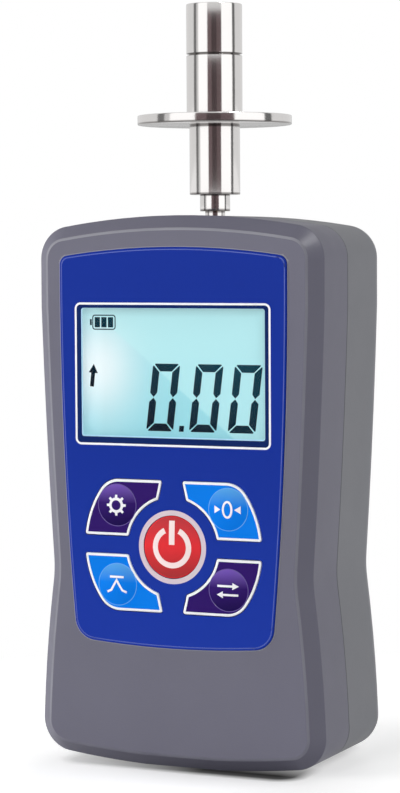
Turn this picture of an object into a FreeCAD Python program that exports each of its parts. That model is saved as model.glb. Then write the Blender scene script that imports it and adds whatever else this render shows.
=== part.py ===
import FreeCAD, Part
import math
import operator
import os
import types
import Sketcher
from FreeCAD import Vector

# A hand-held fruit hardness tester. Millimetres, Z up along the probe, the display towards -Y.
# The origin is under the middle of the base, half way between the highest key and the back.

SIZES = [
    # The moulded case: two shells that part on a plane behind the display
    ("case_depth", "35.5", "front face to back face"),
    ("rear_depth", "21.05", "parting line to the back face"),
    ("case_height", "107.9", "base to the crown of the top arc"),
    ("top_half", "30.3", "half width at the shoulders"),
    ("shoulder_drop", "14.85", "upper corners down to where the sides turn upright"),
    ("side_radius", "1500", "bow of the long sides"),
    ("waist_half", "27.9", "half width at the waist"),
    ("waist_z", "38.6", "height of the waist"),
    ("waist_radius", "25", "bend at the waist"),
    ("flare_radius", "300", "bow of the flare under the waist"),
    ("base_half", "30.6", "half width at the base"),
    ("base_land", "8", "half width of the flat that it stands on"),
    ("top_radius", "152", "arc of the top"),
    ("base_radius", "200", "arc of the base"),
    ("corner_round", "6.5", "rounding of the four outline corners"),
    ("back_round", "6", "rounding of the rear edge"),
    ("bevel", "2.6", "bevel round the front face"),
    ("bevel_soft", "0.3", "softening of the bevel's two edges"),
    ("wall", "2", "side and back walls"),
    ("face_wall", "2.4", "front wall"),
    ("lip_height", "1.2", "lip of the rear shell inside the front one"),
    ("lip_play", "0.1", "play between lip and rabbet"),
    ("parting_groove", "0.35", "groove at the parting line"),
    # The control panel and what shows through it
    ("panel_shift", "-0.45", "middle of panel, display and keys, off the case's middle"),
    ("panel_half", "24.25", "half width at the top"),
    ("panel_base_half", "21.05", "half width at the bottom"),
    ("panel_drop", "6.1", "crown of the case down to the crown of the panel"),
    ("panel_bottom", "23.7", "lowest point of its bottom arc"),
    ("panel_side_radius", "765", "bow of its sides"),
    ("panel_top_radius", "160", "arc of its top"),
    ("panel_base_radius", "200", "arc of its bottom"),
    ("panel_top_round", "1.8", "upper corners"),
    ("panel_base_round", "4.5", "lower corners"),
    ("panel_thick", "1.2", "thickness"),
    ("panel_proud", "0.3", "stands proud of the case by"),
    ("panel_edge", "0.3", "rounding of its front edge"),
    ("panel_fit", "0.1", "play in its recess"),
    ("window_drop", "24.75", "crown of the panel down to the middle of the window"),
    ("window_wide", "40.4", "width"),
    ("window_tall", "26.5", "height"),
    ("window_round", "0.6", "corners"),
    ("window_sunk", "0.03", "lies below the panel's face by"),
    ("window_rim", "1.4", "rim behind the panel"),
    ("window_rim_thick", "0.5", "thickness of the rim"),
    # The keys
    ("keys_z", "43.6", "height of the power key"),
    ("key_inner", "9.6", "inner radius of a shaped key"),
    ("key_outer", "19", "outer radius of a shaped key"),
    ("key_low", "1.8", "edge nearest the level of the power key"),
    ("key_high", "12.95", "edge furthest from that level"),
    ("key_neck_high", "2.1", "side edge, at the far end"),
    ("key_neck_low", "3", "side edge, at the near end"),
    ("key_shoulder", "5", "rounding of its outermost corner"),
    ("key_round", "0.45", "its other corners"),
    ("key_thick", "0.75", "key plate"),
    ("key_edge", "0.2", "rounding of a key's front edge"),
    ("key_play", "0.12", "gap round a key"),
    ("key_travel", "0.4", "travel of a key"),
    ("bubble_x", "11.9", "bubble from the middle of the keys, across"),
    ("bubble_z", "7.8", "bubble from the middle of the keys, up"),
    ("bubble_radius", "4.15", "bubble on a shaped key"),
    ("bubble_rise", "0.5", "height of a bubble"),
    ("power_radius", "6.1", "power key"),
    ("power_rise", "0.3", "crown of the power key"),
    ("stem_radius", "1.6", "stem of a key"),
    ("stem_play", "0.1", "play of a stem in the front wall"),
    ("barb_radius", "2.2", "barb that holds a key in"),
    ("barb_thick", "0.8", "thickness of the barb"),
    ("barb_play", "0.1", "gap between barb and front wall"),
    ("dome_radius", "3", "snap dome"),
    ("dome_rise", "0.5", "height of a snap dome"),
    ("dome_gap", "0.05", "stem to dome with the key pressed"),
    # The display and the board
    ("glass_wide", "41.4", "display glass, width"),
    ("glass_tall", "27.6", "display glass, height"),
    ("glass_thick", "2", "display glass"),
    ("glass_gap", "0.1", "window to display glass"),
    ("frame_rim", "1", "wall of the display frame"),
    ("frame_play", "0.1", "display glass in its frame"),
    ("strip_wide", "1.8", "elastomer connector strip"),
    ("board_set", "6.1", "front face of the case to the board"),
    ("board_thick", "1.6", "circuit board"),
    ("board_gap", "2.9", "inner wall at the waist to the edge of the board"),
    ("board_bottom", "18.5", "lower edge of the board"),
    ("board_over", "0.35", "board above the display frame"),
    ("board_post_radius", "2.3", "post that the board is screwed to"),
    ("board_hole_radius", "1.2", "screw hole in the board"),
    ("board_screw_radius", "1", "thread of a board screw"),
    ("board_screw_long", "5", "board screw under its head"),
    ("board_head_radius", "2", "head of a board screw"),
    ("board_head_thick", "1.5", "head of a board screw"),
    ("board_upper_inset", "2.4", "upper board screws, from the edge of the board"),
    ("board_post_gap", "0.35", "display frame down to the upper board posts"),
    ("board_lower_inset", "4.4", "lower board screws, from the edge of the board"),
    ("board_lower_z", "22", "lower board screws, height"),
    # What is soldered to the back of the board
    ("chip_x", "-4", "controller chip, across"),
    ("chip_z", "50", "controller chip, height"),
    ("chip_side", "10", "controller chip"),
    ("chip_thick", "1.4", "chips"),
    ("amplifier_x", "10", "amplifier chip, across"),
    ("amplifier_z", "76", "amplifier chip, height"),
    ("amplifier_wide", "5", "amplifier chip"),
    ("amplifier_tall", "6.2", "amplifier chip"),
    ("crystal_x", "-15", "crystal, across"),
    ("crystal_z", "58", "crystal, height"),
    ("crystal_wide", "4.6", "crystal"),
    ("crystal_tall", "10.8", "crystal"),
    ("crystal_thick", "3.4", "crystal"),
    ("buzzer_x", "12", "buzzer, across"),
    ("buzzer_z", "40", "buzzer, height"),
    ("buzzer_radius", "4.6", "buzzer"),
    ("buzzer_thick", "4.4", "buzzer"),
    ("capacitor_x", "-15.5", "capacitors, across"),
    ("capacitor_z", "34", "lower capacitor, height"),
    ("capacitor_pitch", "8", "capacitor to capacitor"),
    ("capacitor_radius", "2.5", "capacitor"),
    ("capacitor_long", "5.8", "capacitor"),
    ("socket_wide", "8", "lead sockets"),
    ("socket_tall", "5", "lead sockets"),
    ("socket_thick", "4.6", "lead sockets"),
    ("cell_socket_x", "12", "socket of the load cell lead, across"),
    ("cell_socket_z", "60", "socket of the load cell lead, height"),
    ("battery_socket_x", "6", "socket of the battery leads, across"),
    ("battery_socket_z", "26", "socket of the battery leads, height"),
    ("lead_radius", "0.6", "leads inside the case"),
    ("lead_gap", "0.05", "end of a lead to what it is soldered to"),
    ("lead_slant_gap", "0.25", "the same where the lead arrives at a slant"),
    ("cell_lead_drop", "11.2", "top of the load cell to its lead"),
    ("plus_lead_inset", "5.5", "top of the bay to the plus lead"),
    ("minus_lead_inset", "3.5", "foot of the bay to the minus lead"),
    # The screws that hold the two shells
    ("case_screw_gap", "0.65", "seat of the door to the recess of a case screw"),
    ("case_screw_low", "12", "lower case screws, height"),
    ("case_post_gap", "0.95", "display frame to the upper case posts"),
    ("case_post_radius", "3.6", "post round a case screw"),
    ("case_screw_radius", "1.45", "thread of a case screw"),
    ("case_screw_long", "24", "case screw under its head"),
    ("case_head_radius", "2.4", "head of a case screw"),
    ("case_head_thick", "2", "head of a case screw"),
    ("case_head_sunk", "0.6", "head below the back face"),
    ("screw_play", "0.15", "play round a screw and its head"),
    ("thread_play", "0.03", "play of a thread in its hole"),
    # The probe
    ("probe_back", "15.9", "axis of the probe to the back face"),
    ("shaft_radius", "2", "measuring shaft"),
    ("shaft_in_cell", "5.8", "reach of the shaft into the load cell"),
    ("shaft_in_tip", "10.19", "reach of the shaft into the tip"),
    ("collar_radius", "3", "lock collar"),
    ("collar_gap", "0.94", "crown of the case to the lock collar"),
    ("collar_long", "3.29", "lock collar"),
    ("sleeve_radius", "5.03", "probe sleeve"),
    ("sleeve_long", "13.83", "probe sleeve"),
    ("flange_radius", "15.35", "depth flange"),
    ("flange_bevel", "0.2", "bevel of its rims"),
    ("flange_thick", "1.85", "depth flange"),
    ("tip_radius", "5.55", "probe tip"),
    ("tip_long", "22", "length of the probe tip"),
    ("ring_depth", "10", "end of the tip to its depth ring"),
    ("ring_wide", "0.5", "width of the depth ring"),
    ("ring_cut", "0.25", "depth of the depth ring's groove"),
    ("tip_bevel", "0.2", "bevel at the end of the tip"),
    ("bore_play", "0.05", "play of the shaft in its bores"),
    ("bush_radius", "3.5", "guide bush"),
    ("bush_sunk", "0.3", "top of the guide bush below the crown of the case"),
    ("bush_shoulder_radius", "4.6", "shoulder under the guide bush's seat"),
    ("bush_shoulder_thick", "1", "shoulder of the guide bush"),
    ("bush_post_radius", "4.9", "post that carries the bush"),
    ("bush_post_long", "5.9", "crown of the case to the foot of that post"),
    ("nut_radius", "3.7", "lock nut on the shaft"),
    ("nut_thick", "2.2", "lock nut on the shaft"),
    ("nut_gap", "0.5", "load cell to lock nut, more than the probe's travel"),
    # The load cell and its bracket
    ("cell_half", "15", "half width of the load cell"),
    ("cell_drop", "10.9", "crown of the case to the top of the load cell"),
    ("cell_tall", "28", "height of the load cell"),
    ("cell_thick", "12.7", "load cell, front to back"),
    ("cell_slot", "1.6", "its two slots"),
    ("cell_bar", "12", "bar between the slots"),
    ("cell_web", "4", "what a slot leaves uncut"),
    ("cell_eye_radius", "4.6", "round ends of the dumbbell opening"),
    ("cell_eye_x", "6.5", "their place from the middle"),
    ("cell_neck", "3", "opening between the two round ends"),
    ("gauge_wide", "6", "strain gauge"),
    ("gauge_tall", "5", "strain gauge, front to back"),
    ("gauge_thick", "0.2", "strain gauge"),
    ("bracket_sheet", "3", "thickness of the bracket"),
    ("bracket_gap", "2.2", "load cell to the bracket's upright"),
    ("bracket_half", "21.4", "half width of the upright"),
    ("bracket_tall", "22.5", "upright above the shelf"),
    ("shelf_half", "15", "half width of the shelf"),
    ("bracket_bend", "2", "inside bend of the bracket"),
    ("bracket_screw_inset", "3", "bracket screws, from the edge of the upright"),
    ("bracket_screw_low", "3", "lower bracket screws above the shelf"),
    ("bracket_screw_high", "18", "upper bracket screws above the shelf"),
    ("bracket_screw_radius", "1.45", "thread of a bracket screw"),
    ("bracket_screw_long", "5", "bracket screw under its head"),
    ("bracket_head_radius", "2.6", "head of a bracket screw"),
    ("bracket_head_thick", "1.6", "head of a bracket screw"),
    ("bracket_post_radius", "3", "post behind a bracket screw"),
    ("bolt_radius", "2", "bolt under the load cell"),
    ("bolt_long", "9", "bolt under its head"),
    ("bolt_head_radius", "3.5", "head of that bolt"),
    ("bolt_head_thick", "3", "head of that bolt"),
    # The battery bay
    ("cells_in_row", "3", "number of cells"),
    ("battery_radius", "5.25", "cell"),
    ("battery_long", "43.3", "cell without its stud"),
    ("stud_radius", "1.9", "stud of a cell"),
    ("stud_long", "1.2", "stud of a cell"),
    ("battery_gap", "0.5", "cell to cell"),
    ("battery_play", "0.2", "play round the cells"),
    ("bay_foot_z", "9.5", "lower end of the bay"),
    ("leaf_room", "4.5", "room for the sprung leaves"),
    ("bay_wall", "1.3", "walls of the bay"),
    ("cradle_wide", "1.8", "rib on the floor of the bay between two cells"),
    ("cradle_tall", "2", "height of that rib"),
    ("cradle_inset", "8", "end of the bay to the end of that rib"),
    ("contact_thick", "0.4", "contact plates and leaves"),
    ("contact_half", "4", "half width of a contact plate"),
    ("leaf_wide", "5", "width of a sprung leaf, front to back"),
    ("leaf_fold", "1.2", "height of the leaf's fold over its foot"),
    ("leaf_crest", "0.5", "half length of the leaf's crest"),
    ("leaf_tail", "2.2", "free end of the leaf, from its middle"),
    ("leaf_drop", "1.6", "free end of the leaf, below its crest"),
    ("door_seat", "1.3", "ledge round the door"),
    ("door_thick", "1.2", "battery door"),
    ("door_play", "0.15", "gap round the door"),
    ("door_round", "2.5", "corners of the door"),
    ("door_rest", "0.05", "gap between door and ledge"),
    ("hook_x", "10", "hooks at the foot of the door, across"),
    ("hook_half", "3", "half width of a hook"),
    ("hook_toe", "1.15", "toe of a hook, below the door's edge"),
    ("hook_thick", "0.9", "toe of a hook"),
    ("hook_gap", "0.3", "play of a hook behind the wall"),
    ("hook_pit", "2.4", "pit for the hooks behind the door's seat"),
    ("latch_half", "6", "half width of the door's latch tongue"),
    ("latch_long", "9", "length of the latch tongue"),
    ("latch_slit", "0.8", "slits beside the latch tongue"),
    ("grip_count", "4", "finger grooves of the latch"),
    ("grip_pitch", "1.6", "groove to groove"),
    ("grip_wide", "0.8", "width of a finger groove"),
    ("grip_cut", "0.4", "depth of a finger groove"),
]

doc = FreeCAD.newDocument("fruit_hardness_tester")
sheet = doc.addObject("Spreadsheet::Sheet", "Sizes")
for row, (alias, text, note) in enumerate(SIZES, start=1):
    sheet.set("A%d" % row, note)
    sheet.set("B%d" % row, text)
    sheet.setAlias("B%d" % row, alias)
doc.recompute()


class Size:
    """A length, held as its number and as the sheet expression that gives it."""

    def __init__(self, number, text):
        self.number = number
        self.text = text

    def __add__(self, other):
        return combine(self, "+", other)

    def __radd__(self, other):
        return combine(other, "+", self)

    def __sub__(self, other):
        return combine(self, "-", other)

    def __rsub__(self, other):
        return combine(other, "-", self)

    def __mul__(self, other):
        return combine(self, "*", other)

    def __rmul__(self, other):
        return combine(other, "*", self)

    def __truediv__(self, other):
        return combine(self, "/", other)

    def __neg__(self):
        return combine(0, "-", self)


SIGNS = {"+": operator.add, "-": operator.sub, "*": operator.mul, "/": operator.truediv}


def size(value):
    """Make a Size of a bare number, and leave a Size as it is."""
    if isinstance(value, Size):
        return value
    return Size(float(value), "(%.6f)" % value)


def combine(left, sign, right):
    """Work out one step of arithmetic, in the number and in the expression."""
    left = size(left)
    right = size(right)
    return Size(SIGNS[sign](left.number, right.number), "(%s %s %s)" % (left.text, sign, right.text))


def root(value):
    """The square root of a Size."""
    return Size(math.sqrt(value.number), "sqrt(%s)" % value.text)


def leg(long_side, other_side):
    """The third side of a right triangle, from its long side and one other side."""
    return root(long_side * long_side - other_side * other_side)


s = types.SimpleNamespace(**{alias: Size(float(text), "Sizes." + alias) for alias, text, note in SIZES})

# Levels from front to back, measured along Y
BACK = (s.case_depth + s.panel_proud + s.bubble_rise) / 2
FACE = BACK - s.case_depth
PARTING = BACK - s.rear_depth
PANEL_SEAT = FACE + s.panel_thick - s.panel_proud
PANEL_FACE = FACE - s.panel_proud
FACE_INSIDE = FACE + s.face_wall
BOARD = FACE + s.board_set
BOARD_BACK = BOARD + s.board_thick
PROBE = BACK - s.probe_back
DOOR_INSIDE = BACK - s.door_thick
BATTERY = BACK - s.wall - s.battery_play - s.battery_radius
BAY_FLOOR = BATTERY - s.battery_radius - s.battery_play
BRACKET_FRONT = PROBE + s.cell_thick / 2 + s.bracket_gap
BRACKET_BACK = BRACKET_FRONT + s.bracket_sheet

# Heights, from the top of the case down
TOP_CENTRE = s.case_height - s.top_radius
SHOULDER_Z = TOP_CENTRE + leg(s.top_radius, s.top_half) - s.shoulder_drop
PANEL_TOP = s.case_height - s.panel_drop
WINDOW_Z = PANEL_TOP - s.window_drop
DISPLAY_HALF = s.glass_tall / 2 + s.frame_play + s.frame_rim
DISPLAY_TOP = WINDOW_Z + DISPLAY_HALF
BASE_CENTRE = leg(s.base_radius, s.base_land)

# Heights along the probe, from the case up and down
COLLAR_Z = s.case_height + s.collar_gap
SLEEVE_Z = COLLAR_Z + s.collar_long
FLANGE_Z = SLEEVE_Z + s.sleeve_long
TIP_Z = FLANGE_Z + s.flange_thick
TIP_TOP = TIP_Z + s.tip_long
BUSH_POST_FOOT = s.case_height - s.bush_post_long
CELL_TOP = s.case_height - s.cell_drop
CELL_FOOT = CELL_TOP - s.cell_tall

# The battery bay
BATTERY_PITCH = 2 * s.battery_radius + s.battery_gap
BAY_HALF = BATTERY_PITCH * s.cells_in_row / 2 + s.battery_play
BAY_LONG = s.battery_long + s.stud_long + 2 * s.contact_thick + s.battery_play + s.leaf_room
BAY_TOP = s.bay_foot_z + BAY_LONG

# Places across
BOARD_HALF = s.waist_half - s.wall - s.board_gap
CASE_SCREW_X = BAY_HALF + s.door_seat + s.screw_play + s.case_head_radius + s.case_screw_gap

FUSE = 0.4        # how far a post or rib runs into the wall that carries it
OVERRUN = 1       # how far a cut runs out past an open edge
SAME_PLACE = 0.05  # two places nearer than this are taken as one
SAME_LEVEL = 0.01  # two levels nearer than this are taken as one
LEAST_CUT = 1e-4   # volume that a cut has to remove
ARC_SHARE = 0.45   # share of a lead's run that the arc at its end may use


def bind(thing, prop, value):
    """Tie a property to the sheet."""
    thing.setExpression(prop, size(value).text)


class Piece:
    """One body of the tester, with short calls for the sketches and features that shape it."""

    def __init__(self, label, at=(0, 0, 0)):
        self.body = doc.addObject("PartDesign::Body", label)
        self.body.Label = label
        for axis, value in zip("xyz", at):
            bind(self.body, "Placement.Base." + axis, value)

    def sketch(self, plane, level=0):
        """A sketch on an origin plane: XZ_Plane at a height along Y, XY_Plane along Z, YZ_Plane along X."""
        sketch = self.body.newObject("Sketcher::SketchObject", "Outline")
        support = next(face for face in self.body.Origin.OriginFeatures if face.Role == plane)
        sketch.AttachmentSupport = [(support, "")]
        sketch.MapMode = "FlatFace"
        bind(sketch, "AttachmentOffset.Base.z", -size(level) if plane == "XZ_Plane" else level)
        return sketch

    def pad(self, sketch, length, reverse=False, middle=False):
        """Add what the sketch encloses. Along XZ sketches a plain pad grows towards -Y."""
        pad = self.body.newObject("PartDesign::Pad", "Pad")
        pad.Profile = sketch
        pad.Reversed = reverse
        pad.Midplane = middle
        bind(pad, "Length", length)
        return self.finish(pad)

    def pocket(self, sketch, length, reverse=False, middle=False):
        """Cut what the sketch encloses. Along XZ sketches a plain pocket cuts towards +Y."""
        before = self.body.Shape.Volume
        pocket = self.body.newObject("PartDesign::Pocket", "Pocket")
        pocket.Profile = sketch
        pocket.Reversed = reverse
        pocket.Midplane = middle
        bind(pocket, "Length", length)
        self.finish(pocket)
        if pocket.Shape.Volume > before - LEAST_CUT:
            raise ValueError("a cut of %s removes nothing" % self.body.Label)
        return pocket

    def turn(self, sketch, axis="V_Axis", groove=False):
        """Spin the sketch round one of its own axes, to add or to cut."""
        kind = "PartDesign::Groove" if groove else "PartDesign::Revolution"
        turned = self.body.newObject(kind, "Turned")
        turned.Profile = sketch
        turned.ReferenceAxis = (sketch, [axis])
        turned.Angle = 360
        return self.finish(turned)

    def round_edges(self, radius, pick, bevel=False):
        """Round or bevel the edges for which pick is true."""
        base = self.body.Tip
        names = ["Edge%d" % number for number, edge in enumerate(base.Shape.Edges, start=1) if pick(edge)]
        if not names:
            raise ValueError("no edge of %s to round" % self.body.Label)
        feature = self.body.newObject("PartDesign::Chamfer" if bevel else "PartDesign::Fillet", "Edges")
        feature.Base = (base, names)
        bind(feature, "Size" if bevel else "Radius", radius)
        return self.finish(feature)

    def finish(self, feature):
        """Work the feature out, and stop if it failed."""
        doc.recompute()
        if "Invalid" in feature.State or "Error" in feature.State or feature.Shape.isNull():
            raise ValueError("a feature of %s failed" % self.body.Label)
        return feature


def outline(sketch, corners, smooth=()):
    """Draw a closed outline through the corners, each held at its place.

    A corner is (x, z), or (x, z, radius, centre) where the edge that leaves it is an arc. The
    centre may be rough: it says to which side the arc's centre lies. The corners numbered in
    smooth are held by the tangents of their two edges. An arc between two of them is held by
    its centre, which is then exact.
    """
    ends = []  # for each edge its number, and which of its points start and end it
    # A sketch numbers the points of an edge: 1 starts it, 2 ends it and 3 is its centre
    for number, corner in enumerate(corners):
        x, z = size(corner[0]).number, size(corner[1]).number
        after = corners[(number + 1) % len(corners)]
        next_x, next_z = size(after[0]).number, size(after[1]).number
        if len(corner) == 2:
            line = Part.LineSegment(Vector(x, z, 0), Vector(next_x, next_z, 0))
            ends.append((sketch.addGeometry(line, False), 1, 2))
            continue
        arc, forwards = arc_between((x, z), (next_x, next_z), size(corner[2]).number, corner[3])
        index = sketch.addGeometry(arc, False)
        ends.append((index, 1, 2) if forwards else (index, 2, 1))
        hold(sketch, "Radius", (index,), corner[2])
    for number, (index, start, end) in enumerate(ends):
        follows = (number + 1) % len(ends)
        joint = "Tangent" if follows in smooth else "Coincident"
        sketch.addConstraint(Sketcher.Constraint(joint, index, end, ends[follows][0], ends[follows][1]))
        if number not in smooth:
            hold(sketch, "DistanceX", (index, start), corners[number][0])
            hold(sketch, "DistanceY", (index, start), corners[number][1])
        elif follows in smooth:
            hold(sketch, "DistanceX", (index, 3), corners[number][3][0])
            hold(sketch, "DistanceY", (index, 3), corners[number][3][1])


def arc_between(start, end, radius, centre):
    """The short arc of that radius between two points, and whether it runs anticlockwise."""
    across = Vector(end[0] - start[0], end[1] - start[1], 0)
    middle = Vector(start[0] + end[0], start[1] + end[1], 0) / 2
    rise = math.sqrt(max(radius ** 2 - (across.Length / 2) ** 2, 0))
    side = Vector(-across.y, across.x, 0).normalize() * rise
    hint = Vector(size(centre[0]).number, size(centre[1]).number, 0)
    middle = min((middle + side, middle - side), key=lambda point: (point - hint).Length)
    first = math.atan2(start[1] - middle.y, start[0] - middle.x)
    last = math.atan2(end[1] - middle.y, end[0] - middle.x)
    turn = (last - first) % (2 * math.pi)
    forwards = turn <= math.pi
    if not forwards:
        first, turn = last, 2 * math.pi - turn
    circle = Part.Circle(middle, Vector(0, 0, 1), radius)
    return Part.ArcOfCircle(circle, first, first + turn), forwards


def hold(sketch, kind, where, value):
    """Hold one measure of a sketch at a sheet value."""
    value = size(value)
    index = sketch.addConstraint(Sketcher.Constraint(kind, *where, value.number))
    sketch.setExpression("Constraints[%d]" % index, value.text)


def circle(sketch, x, z, radius):
    """Draw a circle in a sketch."""
    x, z, radius = size(x), size(z), size(radius)
    centre = Vector(x.number, z.number, 0)
    index = sketch.addGeometry(Part.Circle(centre, Vector(0, 0, 1), radius.number), False)
    hold(sketch, "DistanceX", (index, 3), x)
    hold(sketch, "DistanceY", (index, 3), z)
    hold(sketch, "Radius", (index,), radius)


def rectangle(sketch, left, right, low, high):
    """Draw a rectangle in a sketch."""
    outline(sketch, [(left, low), (right, low), (right, high), (left, high)])


def along_y(edge):
    """Whether an edge is straight and runs front to back."""
    return isinstance(edge.Curve, Part.Line) and abs(edge.Curve.Direction.y) > 0.999


def at_points(points, end=None):
    """A test for edges that run front to back through one of the points (x, z), and reach the end."""
    places = [(size(x).number, size(z).number) for x, z in points]

    def test(edge):
        point = edge.Vertexes[0].Point
        near = any(math.hypot(point.x - x, point.z - z) < SAME_PLACE for x, z in places)
        ends = [vertex.Point.y for vertex in edge.Vertexes]
        reaches = end is None or any(abs(y - end.number) < SAME_LEVEL for y in ends)
        return near and reaches and along_y(edge)

    return test


def on_level(y):
    """A test for edges that lie wholly at one place along Y."""
    y = size(y).number
    return lambda edge: edge.BoundBox.YMin > y - SAME_LEVEL and edge.BoundBox.YMax < y + SAME_LEVEL


def outer_rim(piece, y):
    """A test for the outer edges of the face that a piece turns to the front at one place along Y."""
    flat = [face for face in piece.body.Tip.Shape.Faces if on_level(y)(face)]
    rim = max(flat, key=lambda face: face.BoundBox.DiagonalLength).OuterWire.Edges
    return lambda edge: any(edge.isPartner(other) for other in rim)


# The case outline, drawn once and inset for its cavity, rabbet and lip

def touching(centre, radius, end, reach):
    """Where an arc of radius reach, which ends at a point, runs smoothly into a circle on its right."""
    centre = Vector(*(size(value).number for value in centre), 0)
    end = Vector(*(size(value).number for value in end), 0)
    radius = size(radius).number
    reach = size(reach).number
    span = end - centre
    along = (span.Length ** 2 + (radius + reach) ** 2 - reach ** 2) / (2 * span.Length)
    aside = math.sqrt((radius + reach) ** 2 - along ** 2)
    ahead = Vector(span).normalize()
    square = Vector(-ahead.y, ahead.x, 0)
    away = min((ahead * along + square * aside * side for side in (-1, 1)), key=lambda way: way.x)
    place = centre + away.normalize() * radius
    return place.x, place.y


def case_corners(inset):
    """The two upper and two lower corners of the case outline, where it is inset."""
    top_x = s.top_half - inset
    base_x = s.base_half - inset
    top_z = TOP_CENTRE + leg(s.top_radius - inset, top_x)
    base_z = BASE_CENTRE - leg(s.base_radius - inset, base_x)
    return [(top_x, top_z), (-top_x, top_z), (base_x, base_z), (-base_x, base_z)]


def case_outline(sketch, inset=0):
    """Draw the waisted outline of the case, inset by the same amount all round."""
    (top_x, top_z), _, (base_x, base_z), _ = case_corners(inset)
    side = s.side_radius - inset
    flare = s.flare_radius - inset
    bend = s.waist_radius + inset
    waist_x = s.waist_half + s.waist_radius
    rise_x, rise_z = touching((waist_x, s.waist_z), bend, (top_x, SHOULDER_Z), side)
    drop_x, drop_z = touching((waist_x, s.waist_z), bend, (base_x, base_z), flare)
    land_z = BASE_CENTRE - leg(s.base_radius - inset, s.base_land)
    above = (0, TOP_CENTRE)
    below = (0, BASE_CENTRE)
    outline(sketch, [
        (-s.base_land, land_z),
        (s.base_land, land_z, s.base_radius - inset, below),
        (base_x, base_z, flare, (-s.flare_radius, s.waist_z)),
        (drop_x, drop_z, bend, (waist_x, s.waist_z)),
        (rise_x, rise_z, side, (-s.side_radius, SHOULDER_Z)),
        (top_x, SHOULDER_Z),
        (top_x, top_z, s.top_radius - inset, above),
        (-top_x, top_z),
        (-top_x, SHOULDER_Z, side, (s.side_radius, SHOULDER_Z)),
        (-rise_x, rise_z, bend, (-waist_x, s.waist_z)),
        (-drop_x, drop_z, flare, (s.flare_radius, s.waist_z)),
        (-base_x, base_z, s.base_radius - inset, below),
    ], smooth=(3, 4, 9, 10))


def panel_corners(grow):
    """The corners of the control panel, grown for the recess that it lies in."""
    top_x = s.panel_half + grow
    base_x = s.panel_base_half + grow
    top_z = PANEL_TOP - s.panel_top_radius + leg(s.panel_top_radius + grow, top_x)
    base_z = s.panel_bottom + s.panel_base_radius - leg(s.panel_base_radius + grow, base_x)
    return top_x, top_z, base_x, base_z


def panel_outline(sketch, grow=0):
    """Draw the control panel, narrower towards the keys, with bowed edges."""
    top_x, top_z, base_x, base_z = panel_corners(grow)
    side = s.panel_side_radius + grow
    middle = s.panel_shift
    outline(sketch, [
        (middle - base_x, base_z, s.panel_base_radius + grow, (middle, s.panel_base_radius)),
        (middle + base_x, base_z, side, (-s.panel_side_radius, top_z)),
        (middle + top_x, top_z, s.panel_top_radius + grow, (middle, -s.panel_top_radius)),
        (middle - top_x, top_z, side, (s.panel_side_radius, top_z)),
    ])


QUADRANTS = {
    "upper_left_key": (-1, 1),
    "upper_right_key": (1, 1),
    "lower_left_key": (-1, -1),
    "lower_right_key": (1, -1),
}


def key_corners(across, up, grow=0, middle=(0, 0)):
    """The corners of a shaped key: a piece of a ring round the power key, cut straight on three sides."""
    inner = s.key_inner - grow
    outer = s.key_outer + grow
    low = s.key_low - grow
    high = s.key_high + grow
    neck = s.key_neck_low - grow
    corners = [
        (leg(inner, low), low),
        (leg(outer, low), low),
        (leg(outer, high), high),
        (s.key_neck_high - grow, high),
        (neck, leg(inner, neck)),
    ]
    return [(middle[0] + across * x, middle[1] + up * z) for x, z in corners]


def key_outline(sketch, across, up, grow=0, middle=(0, 0)):
    """Draw a shaped key, in one of the four quadrants round the power key."""
    corners = key_corners(across, up, grow, middle)
    corners[1] += (s.key_outer + grow, middle)
    corners[4] += (s.key_inner - grow, middle)
    outline(sketch, corners)


def round_keys(piece, keys, grow=0):
    """Round the corners of shaped keys or of their openings, each key given by its five corners."""
    shoulders = [corners[2] for corners in keys]
    others = [corner for corners in keys for corner in corners if corner not in shoulders]
    piece.round_edges(s.key_shoulder + grow, at_points(shoulders))
    piece.round_edges(s.key_round + grow, at_points(others))


def keys_middle():
    """The middle of the keys, across and up."""
    return s.panel_shift, s.keys_z


def key_places():
    """Where each key's bubble and stem are, across and up."""
    across, up = keys_middle()
    places = {name: (across + x * s.bubble_x, up + z * s.bubble_z) for name, (x, z) in QUADRANTS.items()}
    places["power_key"] = (across, up)
    return places


def mirrored(x, z, middle=0):
    """Two places, one each side of the middle."""
    return [(middle - x, z), (middle + x, z)]


CASE_SCREW_HIGH = DISPLAY_TOP + s.case_post_gap + s.case_post_radius
CASE_SCREWS = mirrored(CASE_SCREW_X, s.case_screw_low) + mirrored(CASE_SCREW_X, CASE_SCREW_HIGH)
BOARD_UPPER_Z = WINDOW_Z - DISPLAY_HALF - s.board_post_gap - s.board_post_radius
BOARD_SCREWS = (mirrored(BOARD_HALF - s.board_upper_inset, BOARD_UPPER_Z, s.panel_shift)
                + mirrored(BOARD_HALF - s.board_lower_inset, s.board_lower_z, s.panel_shift))
BRACKET_SCREW_X = s.bracket_half - s.bracket_screw_inset
BRACKET_SCREWS = (mirrored(BRACKET_SCREW_X, CELL_FOOT + s.bracket_screw_low)
                  + mirrored(BRACKET_SCREW_X, CELL_FOOT + s.bracket_screw_high))


def pad_case(piece, level, length, inset=0, reverse=False):
    """Pad the case outline, inset as asked."""
    sketch = piece.sketch("XZ_Plane", level)
    case_outline(sketch, inset)
    piece.pad(sketch, length, reverse)


def cut_case(piece, level, length, inset, reverse=False):
    """Cut the inset case outline."""
    sketch = piece.sketch("XZ_Plane", level)
    case_outline(sketch, inset)
    piece.pocket(sketch, length, reverse)


def round_case(piece, *insets):
    """Round the four corners of each inset outline, the innermost first."""
    for inset in insets:
        piece.round_edges(s.corner_round - inset, at_points(case_corners(inset)))


def round_posts(piece, level, places, radius, length, reverse=False):
    """Pad round posts that run front to back."""
    sketch = piece.sketch("XZ_Plane", level)
    for x, z in places:
        circle(sketch, x, z, radius)
    piece.pad(sketch, length, reverse)


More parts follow.
